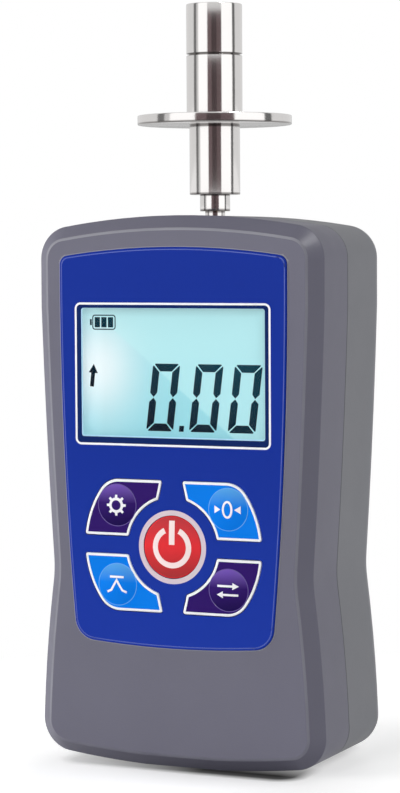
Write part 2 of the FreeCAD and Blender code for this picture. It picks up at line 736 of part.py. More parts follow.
def round_holes(piece, level, places, radius, length, reverse=False):
    """Cut round holes that run front to back."""
    sketch = piece.sketch("XZ_Plane", level)
    for x, z in places:
        circle(sketch, x, z, radius)
    piece.pocket(sketch, length, reverse)


def round_panel(piece, grow=0):
    """Round the corners of the control panel, or of the recess that it lies in."""
    top_x, top_z, base_x, base_z = panel_corners(grow)
    piece.round_edges(s.panel_top_round + grow, at_points(mirrored(top_x, top_z, s.panel_shift)))
    piece.round_edges(s.panel_base_round + grow, at_points(mirrored(base_x, base_z, s.panel_shift)))


def window_rectangle(sketch, grow=0):
    """Draw the display window, grown for the opening that it fits."""
    half_wide = s.window_wide / 2 + grow
    half_tall = s.window_tall / 2 + grow
    rectangle(sketch, s.panel_shift - half_wide, s.panel_shift + half_wide,
              WINDOW_Z - half_tall, WINDOW_Z + half_tall)


def window_corners(grow=0):
    """The four corners of the display window, grown as asked."""
    half_wide = s.window_wide / 2 + grow
    half_tall = s.window_tall / 2 + grow
    return [(s.panel_shift + x * half_wide, WINDOW_Z + z * half_tall) for x in (-1, 1) for z in (-1, 1)]


# Front cover

def make_front_cover():
    """The front shell, with the panel's recess, the openings behind it and the screw posts."""
    cover = Piece("front_cover")
    inner_depth = PARTING - FACE_INSIDE
    pad_case(cover, PARTING, PARTING - FACE)
    cut_case(cover, PARTING, inner_depth, s.wall, reverse=True)
    cut_case(cover, PARTING, s.lip_height + s.lip_play, s.wall / 2, reverse=True)
    round_case(cover, s.wall, s.wall / 2, 0)
    cover.round_edges(s.bevel, on_level(FACE), bevel=True)
    cover.round_edges(s.bevel_soft, on_level(FACE + s.bevel))
    cover.round_edges(s.bevel_soft, on_level(FACE), bevel=True)

    recess = cover.sketch("XZ_Plane", FACE)
    panel_outline(recess, s.panel_fit)
    cover.pocket(recess, PANEL_SEAT - FACE)
    round_panel(cover, s.panel_fit)

    opening = cover.sketch("XZ_Plane", FACE)
    window_rectangle(opening, s.window_rim + s.panel_fit)
    cover.pocket(opening, s.face_wall)
    round_holes(cover, FACE, key_places().values(), s.stem_radius + s.stem_play, s.face_wall)

    round_posts(cover, PARTING, CASE_SCREWS, s.case_post_radius, inner_depth + FUSE)
    round_holes(cover, PARTING, CASE_SCREWS, s.case_screw_radius + s.thread_play,
                inner_depth - s.wall / 2, reverse=True)
    post_long = BOARD - FACE_INSIDE
    round_posts(cover, BOARD, BOARD_SCREWS, s.board_post_radius, post_long + FUSE)
    round_holes(cover, BOARD, BOARD_SCREWS, s.board_screw_radius + s.thread_play, post_long, reverse=True)
    return cover


# Rear cover with the battery bay


def make_rear_cover():
    """The rear shell: lip, battery bay, door seat, screw posts and the seat of the guide bush."""
    cover = Piece("rear_cover")
    inside_back = BACK - s.wall
    lip_inset = s.wall / 2 + s.lip_play
    pad_case(cover, PARTING, s.rear_depth, reverse=True)
    pad_case(cover, PARTING, s.lip_height, lip_inset)
    cut_case(cover, PARTING - s.lip_height, s.lip_height + s.rear_depth - s.wall, s.wall)
    round_case(cover, s.wall, lip_inset, 0)
    cover.round_edges(s.back_round - s.wall, on_level(inside_back))
    cover.round_edges(s.back_round, on_level(BACK))
    cover.round_edges(s.parting_groove, outer_rim(cover, PARTING), bevel=True)

    post_long = s.rear_depth - s.wall + FUSE
    round_posts(cover, PARTING, CASE_SCREWS, s.case_post_radius, post_long, reverse=True)
    block = cover.sketch("XZ_Plane", BAY_FLOOR - s.bay_wall)
    rectangle(block, -BAY_HALF - s.bay_wall, BAY_HALF + s.bay_wall,
              s.bay_foot_z - s.bay_wall, BAY_TOP + s.bay_wall)
    cover.pad(block, inside_back - BAY_FLOOR + s.bay_wall + FUSE, reverse=True)
    bay = cover.sketch("XZ_Plane", BACK)
    rectangle(bay, -BAY_HALF, BAY_HALF, s.bay_foot_z, BAY_TOP)
    cover.pocket(bay, BACK - BAY_FLOOR, reverse=True)
    cradle = cover.sketch("XZ_Plane", BAY_FLOOR + s.cradle_tall)
    for across in (-1, 1):
        middle = across * BATTERY_PITCH / 2
        rectangle(cradle, middle - s.cradle_wide / 2, middle + s.cradle_wide / 2,
                  s.bay_foot_z + s.cradle_inset, BAY_TOP - s.cradle_inset)
    cover.pad(cradle, s.cradle_tall + FUSE)
    seat = cover.sketch("XZ_Plane", BACK)
    grow = s.door_seat
    rectangle(seat, -BAY_HALF - grow, BAY_HALF + grow, s.bay_foot_z - grow, BAY_TOP + grow)
    cover.pocket(seat, s.door_thick, reverse=True)
    cover.round_edges(s.door_round, at_points(door_corners(grow), BACK))
    pits = cover.sketch("XZ_Plane", DOOR_INSIDE)
    for across in (-1, 1):
        inner = across * (s.hook_x - s.hook_half - s.hook_gap)
        outer = across * (s.hook_x + s.hook_half + s.hook_gap)
        rectangle(pits, inner, outer, s.bay_foot_z - s.bay_wall - FUSE, s.bay_foot_z)
    cover.pocket(pits, s.hook_pit, reverse=True)

    round_posts(cover, BRACKET_BACK, BRACKET_SCREWS, s.bracket_post_radius,
                inside_back - BRACKET_BACK + FUSE, reverse=True)
    round_holes(cover, BRACKET_BACK, BRACKET_SCREWS, s.bracket_screw_radius + s.thread_play,
                inside_back - BRACKET_BACK)
    round_holes(cover, PARTING, CASE_SCREWS, s.case_screw_radius + s.screw_play, s.rear_depth)
    head_seat = s.case_head_thick + s.case_head_sunk
    round_holes(cover, BACK, CASE_SCREWS, s.case_head_radius + s.screw_play, head_seat, reverse=True)

    post = cover.sketch("XY_Plane", BUSH_POST_FOOT)
    circle(post, 0, PROBE, s.bush_post_radius)
    cover.pad(post, s.bush_post_long - s.wall + FUSE)
    hole = cover.sketch("XY_Plane", s.case_height)
    circle(hole, 0, PROBE, s.bush_radius + s.bore_play)
    cover.pocket(hole, s.bush_post_long)
    return cover


def door_corners(grow):
    """The corners of the door's seat, or of the door where grow is less."""
    return [(x * (BAY_HALF + grow), z) for x in (-1, 1) for z in (s.bay_foot_z - grow, BAY_TOP + grow)]


# Pieces that are turned, and small shared shapes

def turned(label, profile, at=(0, 0, 0), plane="XZ_Plane"):
    """A turned piece. The profile's points are (radius, place along the axis).

    The axis is Z on the XZ plane, and Y on the XY plane.
    """
    piece = Piece(label, at)
    sketch = piece.sketch(plane)
    outline(sketch, profile)
    piece.turn(sketch)
    return piece


def ring(inner, outer, low, high):
    """The profile of a plain ring or, with an inner radius of 0, of a disc."""
    return [(inner, low), (outer, low), (outer, high), (inner, high)]


def cap_profile(radius, rise, top, foot):
    """The profile of a shallow round cap whose top is nearest to the front."""
    bend = (radius * radius + rise * rise) / (2 * rise)
    rim = top + rise
    return [(0, top, bend, (0, top + bend)), (radius, rim), (radius, foot), (0, foot)]


def box(piece, level, left, right, low, high, length, reverse=False):
    """Pad a rectangle that faces the front."""
    sketch = piece.sketch("XZ_Plane", level)
    rectangle(sketch, left, right, low, high)
    piece.pad(sketch, length, reverse)


def group(label, pieces):
    """Put identical pieces into one sub-part, as separate solids."""
    compound = doc.addObject("Part::Compound", label)
    compound.Label = label
    compound.Links = [piece.body for piece in pieces]
    doc.recompute()
    return compound


def screws(label, places, radius, long, head_radius, head_thick, seat, towards):
    """A set of screws that run front to back. Each head stands on the seat, and the shank goes on."""
    pieces = []
    for number, (x, z) in enumerate(places, start=1):
        head = seat - towards * head_thick
        end = seat + towards * long
        profile = [(0, head), (head_radius, head), (head_radius, seat), (radius, seat), (radius, end), (0, end)]
        pieces.append(turned("%s_item_%d" % (label, number), profile, (x, 0, z), "XY_Plane"))
    return group(label, pieces)


# Control panel and display window

def make_control_panel():
    """The blue plate, with the window's opening and the five key openings."""
    panel = Piece("control_panel")
    sketch = panel.sketch("XZ_Plane", PANEL_SEAT)
    panel_outline(sketch)
    panel.pad(sketch, s.panel_thick)
    round_panel(panel)
    panel.round_edges(s.panel_edge, on_level(PANEL_FACE))
    window = panel.sketch("XZ_Plane", PANEL_FACE)
    window_rectangle(window, s.panel_fit)
    panel.pocket(window, s.panel_thick)
    panel.round_edges(s.window_round, at_points(window_corners(s.panel_fit)))

    middle = keys_middle()
    openings = panel.sketch("XZ_Plane", PANEL_FACE)
    corners = []
    for across, up in QUADRANTS.values():
        key_outline(openings, across, up, s.key_play, middle)
        corners.append(key_corners(across, up, s.key_play, middle))
    circle(openings, middle[0], middle[1], s.power_radius + s.key_play)
    panel.pocket(openings, s.panel_thick)
    round_keys(panel, corners, s.key_play)
    return panel


def make_display_window():
    """The clear plate, with a rim that the panel holds down."""
    window = Piece("display_window")
    rim = window.sketch("XZ_Plane", PANEL_SEAT + s.window_rim_thick)
    window_rectangle(rim, s.window_rim)
    window.pad(rim, s.window_rim_thick)
    front = window.sketch("XZ_Plane", PANEL_SEAT)
    window_rectangle(front)
    window.pad(front, s.panel_thick - s.window_sunk)
    window.round_edges(s.window_round, at_points(window_corners()))
    return window


# Keys

KEY_BACK = PANEL_FACE + s.key_thick
STEM_END = BOARD - s.dome_rise - s.key_travel - s.dome_gap


def finish_key(key, bubble_radius, bubble_rise):
    """Give a key its bubble, its stem through the front wall and the barb that holds it in."""
    bubble = key.sketch("XY_Plane")
    top = PANEL_FACE - bubble_rise
    outline(bubble, cap_profile(bubble_radius, bubble_rise, top, PANEL_FACE + s.key_thick / 2))
    key.turn(bubble)
    round_posts(key, KEY_BACK, [(0, 0)], s.stem_radius, STEM_END - KEY_BACK, reverse=True)
    round_posts(key, FACE_INSIDE + s.barb_play, [(0, 0)], s.barb_radius, s.barb_thick, reverse=True)


def make_shaped_key(label):
    """One of the four keys round the power key. Its own origin is behind its bubble."""
    across, up = QUADRANTS[label]
    x, z = key_places()[label]
    key = Piece(label, (x, 0, z))
    plate = key.sketch("XZ_Plane", KEY_BACK)
    middle = (-across * s.bubble_x, -up * s.bubble_z)
    key_outline(plate, across, up, 0, middle)
    key.pad(plate, s.key_thick)
    round_keys(key, [key_corners(across, up, 0, middle)])
    key.round_edges(s.key_edge, on_level(PANEL_FACE))
    finish_key(key, s.bubble_radius, s.bubble_rise)
    return key


def make_power_key():
    """The round key in the middle."""
    x, z = key_places()["power_key"]
    key = Piece("power_key", (x, 0, z))
    round_posts(key, KEY_BACK, [(0, 0)], s.power_radius, s.key_thick)
    key.round_edges(s.key_edge, on_level(PANEL_FACE))
    finish_key(key, s.power_radius - s.key_edge, s.power_rise)
    return key


def make_snap_domes():
    """The five domes on the board that the stems press."""
    domes = []
    for number, (x, z) in enumerate(key_places().values(), start=1):
        profile = cap_profile(s.dome_radius, s.dome_rise, BOARD - s.dome_rise, BOARD)
        del profile[2]
        domes.append(turned("snap_domes_item_%d" % number, profile, (x, 0, z), "XY_Plane"))
    return group("snap_domes", domes)


# Display and board

GLASS_FRONT = PANEL_SEAT + s.window_rim_thick + s.glass_gap
GLASS_BACK = GLASS_FRONT + s.glass_thick


def make_display_glass():
    """The liquid-crystal cell."""
    glass = Piece("display_glass")
    box(glass, GLASS_BACK, s.panel_shift - s.glass_wide / 2, s.panel_shift + s.glass_wide / 2,
        WINDOW_Z - s.glass_tall / 2, WINDOW_Z + s.glass_tall / 2, s.glass_thick)
    return glass


def strip_places():
    """The two connector strips: the middle height of each."""
    reach = s.glass_tall / 2 - s.strip_wide
    return [WINDOW_Z - reach, WINDOW_Z + reach]


def make_display_frame():
    """The frame that holds the glass on the board, with slots for the connector strips."""
    frame = Piece("display_frame")
    play = s.frame_play
    half_wide = s.glass_wide / 2 + play
    half_tall = DISPLAY_HALF - s.frame_rim
    rim = s.frame_rim
    front = FACE_INSIDE + s.barb_play
    box(frame, BOARD, s.panel_shift - half_wide - rim, s.panel_shift + half_wide + rim,
        WINDOW_Z - half_tall - rim, WINDOW_Z + half_tall + rim, BOARD - front)
    tray = frame.sketch("XZ_Plane", front)
    rectangle(tray, s.panel_shift - half_wide, s.panel_shift + half_wide,
              WINDOW_Z - half_tall, WINDOW_Z + half_tall)
    frame.pocket(tray, GLASS_BACK - front)
    slots = frame.sketch("XZ_Plane", GLASS_BACK)
    for z in strip_places():
        reach = s.strip_wide / 2 + play
        rectangle(slots, s.panel_shift - s.window_wide / 2 - play, s.panel_shift + s.window_wide / 2 + play,
                  z - reach, z + reach)
    frame.pocket(slots, BOARD - GLASS_BACK)
    return frame


def make_connector_strips():
    """The two elastomer strips between glass and board."""
    strips = []
    for number, z in enumerate(strip_places(), start=1):
        strip = Piece("connector_strips_item_%d" % number)
        box(strip, BOARD, s.panel_shift - s.window_wide / 2, s.panel_shift + s.window_wide / 2,
            z - s.strip_wide / 2, z + s.strip_wide / 2, BOARD - GLASS_BACK)
        strips.append(strip)
    return group("connector_strips", strips)


def make_circuit_board():
    """The board, screwed to the front cover."""
    board = Piece("circuit_board")
    box(board, BOARD_BACK, s.panel_shift - BOARD_HALF, s.panel_shift + BOARD_HALF,
        s.board_bottom, DISPLAY_TOP + s.board_over, s.board_thick)
    round_holes(board, BOARD, BOARD_SCREWS, s.board_hole_radius, s.board_thick)
    return board


def on_board(label, x, z, wide, tall, thick):
    """A block soldered to the back of the board."""
    block = Piece(label)
    box(block, BOARD_BACK, x - wide / 2, x + wide / 2, z - tall / 2, z + tall / 2, thick, reverse=True)
    return block


def make_capacitors():
    """Two round capacitors, standing on the back of the board."""
    cans = []
    heights = [s.capacitor_z, s.capacitor_z + s.capacitor_pitch]
    for number, z in enumerate(heights, start=1):
        profile = ring(0, s.capacitor_radius, BOARD_BACK, BOARD_BACK + s.capacitor_long)
        cans.append(turned("capacitors_item_%d" % number, profile, (s.capacitor_x, 0, z), "XY_Plane"))
    return group("capacitors", cans)


# Probe, from the load cell up

def make_probe():
    """The shaft and what is screwed on it: lock nut, lock collar, sleeve, depth flange and tip."""
    at = (0, PROBE, 0)
    bore = s.shaft_radius + s.bore_play
    ring_z = TIP_TOP - s.ring_depth
    groove = s.tip_radius - s.ring_cut
    shaft_top = TIP_Z + s.shaft_in_tip
    bore_top = shaft_top + s.bore_play
    rim = s.flange_bevel
    return [
        turned("measuring_shaft", ring(0, s.shaft_radius, CELL_TOP - s.shaft_in_cell, shaft_top), at),
        turned("lock_collar", ring(bore, s.collar_radius, COLLAR_Z, SLEEVE_Z), at),
        turned("probe_sleeve", ring(bore, s.sleeve_radius, SLEEVE_Z, FLANGE_Z), at),
        turned("depth_flange", [
            (bore, FLANGE_Z), (s.flange_radius - rim, FLANGE_Z), (s.flange_radius, FLANGE_Z + rim),
            (s.flange_radius, TIP_Z - rim), (s.flange_radius - rim, TIP_Z), (bore, TIP_Z),
        ], at),
        turned("probe_tip", [
            (bore, TIP_Z), (s.tip_radius, TIP_Z), (s.tip_radius, ring_z - s.ring_wide / 2),
            (groove, ring_z - s.ring_wide / 2), (groove, ring_z + s.ring_wide / 2),
            (s.tip_radius, ring_z + s.ring_wide / 2), (s.tip_radius, TIP_TOP - s.tip_bevel),
            (s.tip_radius - s.tip_bevel, TIP_TOP), (0, TIP_TOP), (0, bore_top), (bore, bore_top),
        ], at),
    ]


def make_lock_nut():
    """The six-sided nut that locks the shaft above the load cell."""
    nut = Piece("lock_nut", (0, PROBE, CELL_TOP + s.nut_gap))
    sketch = nut.sketch("XY_Plane")
    corners = [math.radians(60 * number) for number in range(6)]
    outline(sketch, [(s.nut_radius * math.cos(turn), s.nut_radius * math.sin(turn)) for turn in corners])
    circle(sketch, 0, 0, s.shaft_radius + s.bore_play)
    nut.pad(sketch, s.nut_thick)
    return nut


def make_guide_bush():
    """The bush that guides the shaft through the top of the rear cover."""
    foot = BUSH_POST_FOOT - s.bush_shoulder_thick
    top = s.case_height - s.bush_sunk
    bore = s.shaft_radius + s.bore_play
    return turned("guide_bush", [
        (bore, foot), (s.bush_shoulder_radius, foot), (s.bush_shoulder_radius, BUSH_POST_FOOT),
        (s.bush_radius, BUSH_POST_FOOT), (s.bush_radius, top), (bore, top),
    ], (0, PROBE, 0))


# Load cell and bracket

CELL_MIDDLE = (CELL_FOOT + CELL_TOP) / 2
SLOT_NEAR = s.cell_bar / 2
SLOT_FAR = SLOT_NEAR + s.cell_slot


def make_load_cell():
    """The S-shaped beam: two slots from opposite sides, and a dumbbell opening in the bar between them."""
    cell = Piece("load_cell", (0, PROBE, CELL_MIDDLE))
    half_tall = s.cell_tall / 2
    sketch = cell.sketch("XZ_Plane")
    rectangle(sketch, -s.cell_half, s.cell_half, -half_tall, half_tall)
    cell.pad(sketch, s.cell_thick, middle=True)
    slots = cell.sketch("XZ_Plane")
    rectangle(slots, -s.cell_half - OVERRUN, s.cell_half - s.cell_web, SLOT_NEAR, SLOT_FAR)
    rectangle(slots, s.cell_web - s.cell_half, s.cell_half + OVERRUN, -SLOT_FAR, -SLOT_NEAR)
    cell.pocket(slots, s.cell_thick, middle=True)
    eyes = cell.sketch("XZ_Plane")
    circle(eyes, -s.cell_eye_x, 0, s.cell_eye_radius)
    circle(eyes, s.cell_eye_x, 0, s.cell_eye_radius)
    cell.pocket(eyes, s.cell_thick, middle=True)
    neck = cell.sketch("XZ_Plane")
    rectangle(neck, -s.cell_eye_x, s.cell_eye_x, -s.cell_neck / 2, s.cell_neck / 2)
    cell.pocket(neck, s.cell_thick, middle=True)
    shaft_hole = cell.sketch("XY_Plane", half_tall)
    circle(shaft_hole, 0, 0, s.shaft_radius + s.bore_play)
    cell.pocket(shaft_hole, half_tall - SLOT_FAR)
    bolt_hole = cell.sketch("XY_Plane", -half_tall)
    circle(bolt_hole, 0, 0, s.bolt_radius + s.thread_play)
    cell.pocket(bolt_hole, half_tall - SLOT_FAR, reverse=True)
    return cell


def make_strain_gauges():
    """Four foils on the thin webs over and under the dumbbell opening."""
    gauges = []
    for side, face in (("top", SLOT_NEAR), ("foot", -SLOT_NEAR - s.gauge_thick)):
        for across in (-1, 1):
            gauge = Piece("strain_gauges_%s_%d" % (side, across + 2), (0, PROBE, CELL_MIDDLE))
            sketch = gauge.sketch("XY_Plane", face)
            middle = across * s.cell_eye_x
            rectangle(sketch, middle - s.gauge_wide / 2, middle + s.gauge_wide / 2,
                      -s.gauge_tall / 2, s.gauge_tall / 2)
            gauge.pad(sketch, s.gauge_thick)
            gauges.append(gauge)
    return group("strain_gauges", gauges)


def make_cell_bracket():
    """The bent sheet that carries the load cell on its shelf and is screwed to the rear cover."""
    bracket = Piece("cell_bracket")
    foot = CELL_FOOT - s.bracket_sheet
    box(bracket, BRACKET_BACK, -s.bracket_half, s.bracket_half, foot, CELL_FOOT + s.bracket_tall,
        s.bracket_sheet)
    shelf = bracket.sketch("XY_Plane", foot)
    rectangle(shelf, -s.shelf_half, s.shelf_half, PROBE - s.cell_thick / 2, BRACKET_FRONT + FUSE)
    bracket.pad(shelf, s.bracket_sheet)

    def inside_bend(edge):
        heights = [vertex.Point.z - CELL_FOOT.number for vertex in edge.Vertexes]
        return max(map(abs, heights)) < SAME_LEVEL and on_level(BRACKET_FRONT)(edge)

    bracket.round_edges(s.bracket_bend, inside_bend)
    round_holes(bracket, BRACKET_FRONT, BRACKET_SCREWS, s.bracket_screw_radius + s.screw_play,
                s.bracket_sheet)
    hole = bracket.sketch("XY_Plane", CELL_FOOT)
    circle(hole, 0, PROBE, s.bolt_radius + s.screw_play)
    bracket.pocket(hole, s.bracket_sheet)
    return bracket


def make_cell_bolt():
    """The bolt that holds the load cell on the shelf, from below."""
    seat = CELL_FOOT - s.bracket_sheet
    return turned("cell_bolt", [
        (0, seat - s.bolt_head_thick), (s.bolt_head_radius, seat - s.bolt_head_thick),
        (s.bolt_head_radius, seat), (s.bolt_radius, seat), (s.bolt_radius, seat + s.bolt_long),
        (0, seat + s.bolt_long),
    ], (0, PROBE, 0))


# Batteries, contacts and door

CELLS = (("battery_left", -1, True), ("battery_middle", 0, False), ("battery_right", 1, True))


def make_batteries():
    """Three cells in a row, each turned the other way from its neighbour."""
    pieces = []
    for label, place, stud_up in CELLS:
        direction = 1 if stud_up else -1
        end = BAY_TOP if stud_up else s.bay_foot_z
        stud = end - direction * (s.contact_thick + s.battery_play)
        shoulder = stud - direction * s.stud_long
        base = shoulder - direction * s.battery_long
        pieces.append(turned(label, [
            (0, stud), (s.stud_radius, stud), (s.stud_radius, shoulder), (s.battery_radius, shoulder),
            (s.battery_radius, base), (0, base),
        ], (place * BATTERY_PITCH, BATTERY, 0)))
    return pieces


def make_fixed_contacts():
    """The plates that the studs of the cells touch."""
    plates = []
    for label, place, stud_up in CELLS:
        plate = Piece("fixed_contacts_%s" % label, (place * BATTERY_PITCH, BATTERY, 0))
        sketch = plate.sketch("XY_Plane", BAY_TOP - s.contact_thick if stud_up else s.bay_foot_z)
        rectangle(sketch, -s.contact_half, s.contact_half, -s.contact_half, s.contact_half)
        plate.pad(sketch, s.contact_thick)
        plates.append(plate)
    return group("fixed_contacts", plates)


def make_sprung_contacts():
    """The leaves, folded from strip, that press on the flat ends of the cells."""
    leaves = []
    half = s.contact_half
    thick = s.contact_thick
    crest = s.leaf_room + thick - s.battery_play
    drop = crest - s.leaf_drop
    profile = [
        (-half, 0), (half, 0), (half, s.leaf_fold), (s.leaf_crest, crest), (-s.leaf_crest, crest),
        (-s.leaf_tail, drop), (thick - s.leaf_tail, drop - thick / 2), (thick - s.leaf_crest, crest - thick),
        (s.leaf_crest - thick / 2, crest - thick), (half - thick, s.leaf_fold - thick / 2),
        (half - thick, thick), (-half, thick),
    ]
    for label, place, stud_up in CELLS:
        up = 1 if stud_up else -1
        foot = s.bay_foot_z if stud_up else BAY_TOP
        leaf = Piece("sprung_contacts_%s" % label, (place * BATTERY_PITCH, BATTERY, foot))
        sketch = leaf.sketch("XZ_Plane")
        outline(sketch, [(x, up * size(z)) for x, z in profile])
        leaf.pad(sketch, s.leaf_wide, middle=True)
        leaves.append(leaf)
    return group("sprung_contacts", leaves)


def make_battery_door():
    """The door: plate, latch tongue with finger grooves, stiffening ribs and the two hooks at its foot."""
    door = Piece("battery_door")
    grow = s.door_seat - s.door_play
    thick = s.door_thick - s.door_rest
    inside = BACK - thick
    foot = s.bay_foot_z - grow
    top = BAY_TOP + grow
    box(door, BACK, -BAY_HALF - grow, BAY_HALF + grow, foot, top, thick)
    door.round_edges(s.door_round - s.door_play, at_points(door_corners(grow)))
    for across in (-1, 1):
        near = across * (s.hook_x - s.hook_half)
        far = across * (s.hook_x + s.hook_half)
        heel = s.bay_foot_z - s.hook_gap
        toe_front = BACK - s.wall - s.hook_gap
        depth = inside + FUSE - toe_front + s.hook_thick
        box(door, inside + FUSE, near, far, foot + s.hook_gap, heel, depth)
        box(door, toe_front, near, far, foot - s.hook_toe, heel, s.hook_thick)
    slits = door.sketch("XZ_Plane", BACK)
    for across in (-1, 1):
        inner = across * s.latch_half
        outer = across * (s.latch_half + s.latch_slit)
        rectangle(slits, inner, outer, top - s.latch_long, top + OVERRUN)
    door.pocket(slits, thick, reverse=True)
    grooves = door.sketch("XZ_Plane", BACK)
    reach = s.latch_half - s.latch_slit
    for number in range(round(s.grip_count.number)):
        z = top - s.grip_pitch * (number + 1)
        rectangle(grooves, -reach, reach, z - s.grip_wide / 2, z + s.grip_wide / 2)
    door.pocket(grooves, s.grip_cut, reverse=True)
    return door


# Leads

def lead(label, *points):
    """A lead along straight runs joined by tangent arcs, each as large as its two runs allow."""
    places = [Vector(*(size(value).number for value in point)) for point in points]
    edges = []
    start = places[0]
    for before, corner, after in zip(places, places[1:], places[2:]):
        arriving = (corner - before).normalize()
        leaving = (after - corner).normalize()
        reach = ARC_SHARE * min((corner - before).Length, (after - corner).Length)
        half_turn = arriving.getAngle(leaving) / 2
        radius = reach / math.tan(half_turn)
        inwards = (leaving - arriving).normalize()
        first = corner - arriving * reach
        middle = corner + inwards * (radius / math.cos(half_turn) - radius)
        last = corner + leaving * reach
        edges += [Part.LineSegment(start, first).toShape(), Part.Arc(first, middle, last).toShape()]
        start = last
        print("%s: radius %.2f, turn %.0f degrees" % (label, radius, math.degrees(2 * half_turn)))
    edges.append(Part.LineSegment(start, places[-1]).toShape())
    path = Part.Wire(edges)
    thickness = s.lead_radius.number
    ring_edge = Part.Circle(places[0], places[1] - places[0], thickness).toShape()
    tube = path.makePipeShell([Part.Wire([ring_edge])], True, True)
    expected = math.pi * thickness ** 2 * path.Length
    if abs(tube.Volume - expected) > 0.01 * expected:
        raise ValueError("%s is not a sound tube" % label)
    feature = doc.addObject("Part::Feature", label)
    feature.Label = label
    feature.Shape = tube
    return feature


def make_leads():
    """The load cell's lead and the two battery leads, each to its socket on the board."""
    socket = BOARD_BACK + s.socket_thick / 2
    half_tall = s.socket_tall / 2
    side = s.cell_half + s.lead_gap
    cell_z = CELL_TOP - s.cell_lead_drop
    cell_end = s.cell_socket_z + half_tall + s.lead_gap
    bay = BAY_FLOOR - s.bay_wall - s.lead_gap
    across = BATTERY_PITCH
    plus_z = BAY_TOP - s.plus_lead_inset
    plus_end = s.battery_socket_z + half_tall + s.lead_slant_gap
    minus_z = s.bay_foot_z + s.minus_lead_inset
    minus_end = s.battery_socket_z - half_tall - s.lead_slant_gap
    return [
        lead("cell_lead", (side, PROBE, cell_z), (side + 8.7, PROBE, cell_z),
             (side + 8.9, PROBE - 5.75, cell_z - 8.5), (s.cell_socket_x, socket, cell_end + 9.5),
             (s.cell_socket_x, socket, cell_end)),
        lead("battery_lead_plus", (-across, bay, plus_z), (-across, bay - 7.2, plus_z),
             (5 - across, bay - 9, plus_z - 8), (s.battery_socket_x - 4, socket + 1.3, plus_end + 9.5),
             (s.battery_socket_x - 1.5, socket, plus_end)),
        lead("battery_lead_minus", (across, bay, minus_z), (across, bay - 7, minus_z),
             (s.battery_socket_x + 3, socket + 0.8, minus_end - 5.5),
             (s.battery_socket_x + 1.5, socket, minus_end)),
    ]


# Making and writing everything

def make_all():
    """Make every sub-part, in order from the case inwards."""
    pieces = [make_front_cover(), make_rear_cover(), make_control_panel(), make_display_window()]
    pieces += [make_shaped_key(label) for label in QUADRANTS]
    pieces += [make_power_key(), make_snap_domes(), make_display_glass(), make_display_frame()]
    pieces += [make_connector_strips(), make_circuit_board()]
    pieces += [
        on_board("controller_chip", s.chip_x, s.chip_z, s.chip_side, s.chip_side, s.chip_thick),
        on_board("amplifier_chip", s.amplifier_x, s.amplifier_z, s.amplifier_wide, s.amplifier_tall,
                 s.chip_thick),
        on_board("crystal", s.crystal_x, s.crystal_z, s.crystal_wide, s.crystal_tall, s.crystal_thick),
        on_board("cell_socket", s.cell_socket_x, s.cell_socket_z, s.socket_wide, s.socket_tall,
                 s.socket_thick),
        on_board("battery_socket", s.battery_socket_x, s.battery_socket_z, s.socket_wide, s.socket_tall,
                 s.socket_thick),
        turned("buzzer", ring(0, s.buzzer_radius, BOARD_BACK, BOARD_BACK + s.buzzer_thick),
               (s.buzzer_x, 0, s.buzzer_z), "XY_Plane"),
        make_capacitors(),
        screws("board_screws", BOARD_SCREWS, s.board_screw_radius, s.board_screw_long,
               s.board_head_radius, s.board_head_thick, BOARD_BACK, -1),
    ]
    pieces += make_probe()
    pieces += [make_lock_nut(), make_guide_bush(), make_load_cell(), make_strain_gauges()]
    pieces += [make_cell_bracket(), make_cell_bolt()]
    pieces += [
        screws("bracket_screws", BRACKET_SCREWS, s.bracket_screw_radius, s.bracket_screw_long,
               s.bracket_head_radius, s.bracket_head_thick, BRACKET_FRONT, 1),
        screws("case_screws", CASE_SCREWS, s.case_screw_radius, s.case_screw_long, s.case_head_radius,
               s.case_head_thick, BACK - s.case_head_thick - s.case_head_sunk, -1),
    ]
    pieces += make_batteries()
    pieces += [make_fixed_contacts(), make_sprung_contacts(), make_battery_door()]
    pieces += make_leads()
    return [piece.body if isinstance(piece, Piece) else piece for piece in pieces]


def check(pieces):
    """Stop if any object failed, or if a sub-part has no sound solid."""
    for thing in doc.Objects:
        if "Invalid" in thing.State or "Error" in thing.State:
            raise ValueError("%s did not work out" % thing.Label)
    for piece in pieces:
        shape = piece.Shape
        if shape.isNull() or not shape.isValid() or not shape.Solids:
            raise ValueError("%s has no sound solid" % piece.Label)


def write(pieces):
    """Write each sub-part's shape under its own name."""
    os.makedirs("parts", exist_ok=True)
    for piece in pieces:
        piece.Shape.exportStep(os.path.join("parts", piece.Label + ".step"))


sub_parts = make_all()
doc.recompute()
check(sub_parts)
write(sub_parts)
for sub_part in sub_parts:
    shape = sub_part.Shape
    print("%-20s solids %d, volume %.1f" % (sub_part.Label, len(shape.Solids), shape.Volume))
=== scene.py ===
# %% [markdown]
# # A fruit hardness tester
#
# A hand gauge for fruit: a waisted grey case of two moulded shells, a blue
# control panel with a display and five keys, and on top a bright steel probe
# that is pressed into the fruit up to its ring. The solids come ready from the
# CAD model. This lesson gives them their finishes, makes the turned steel of
# the probe, the prints and the display's figures, and lights them as in a
# plain product photograph.

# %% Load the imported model
import math

import bmesh
import bpy
from mathutils import Matrix, Vector
from mathutils.geometry import tessellate_polygon


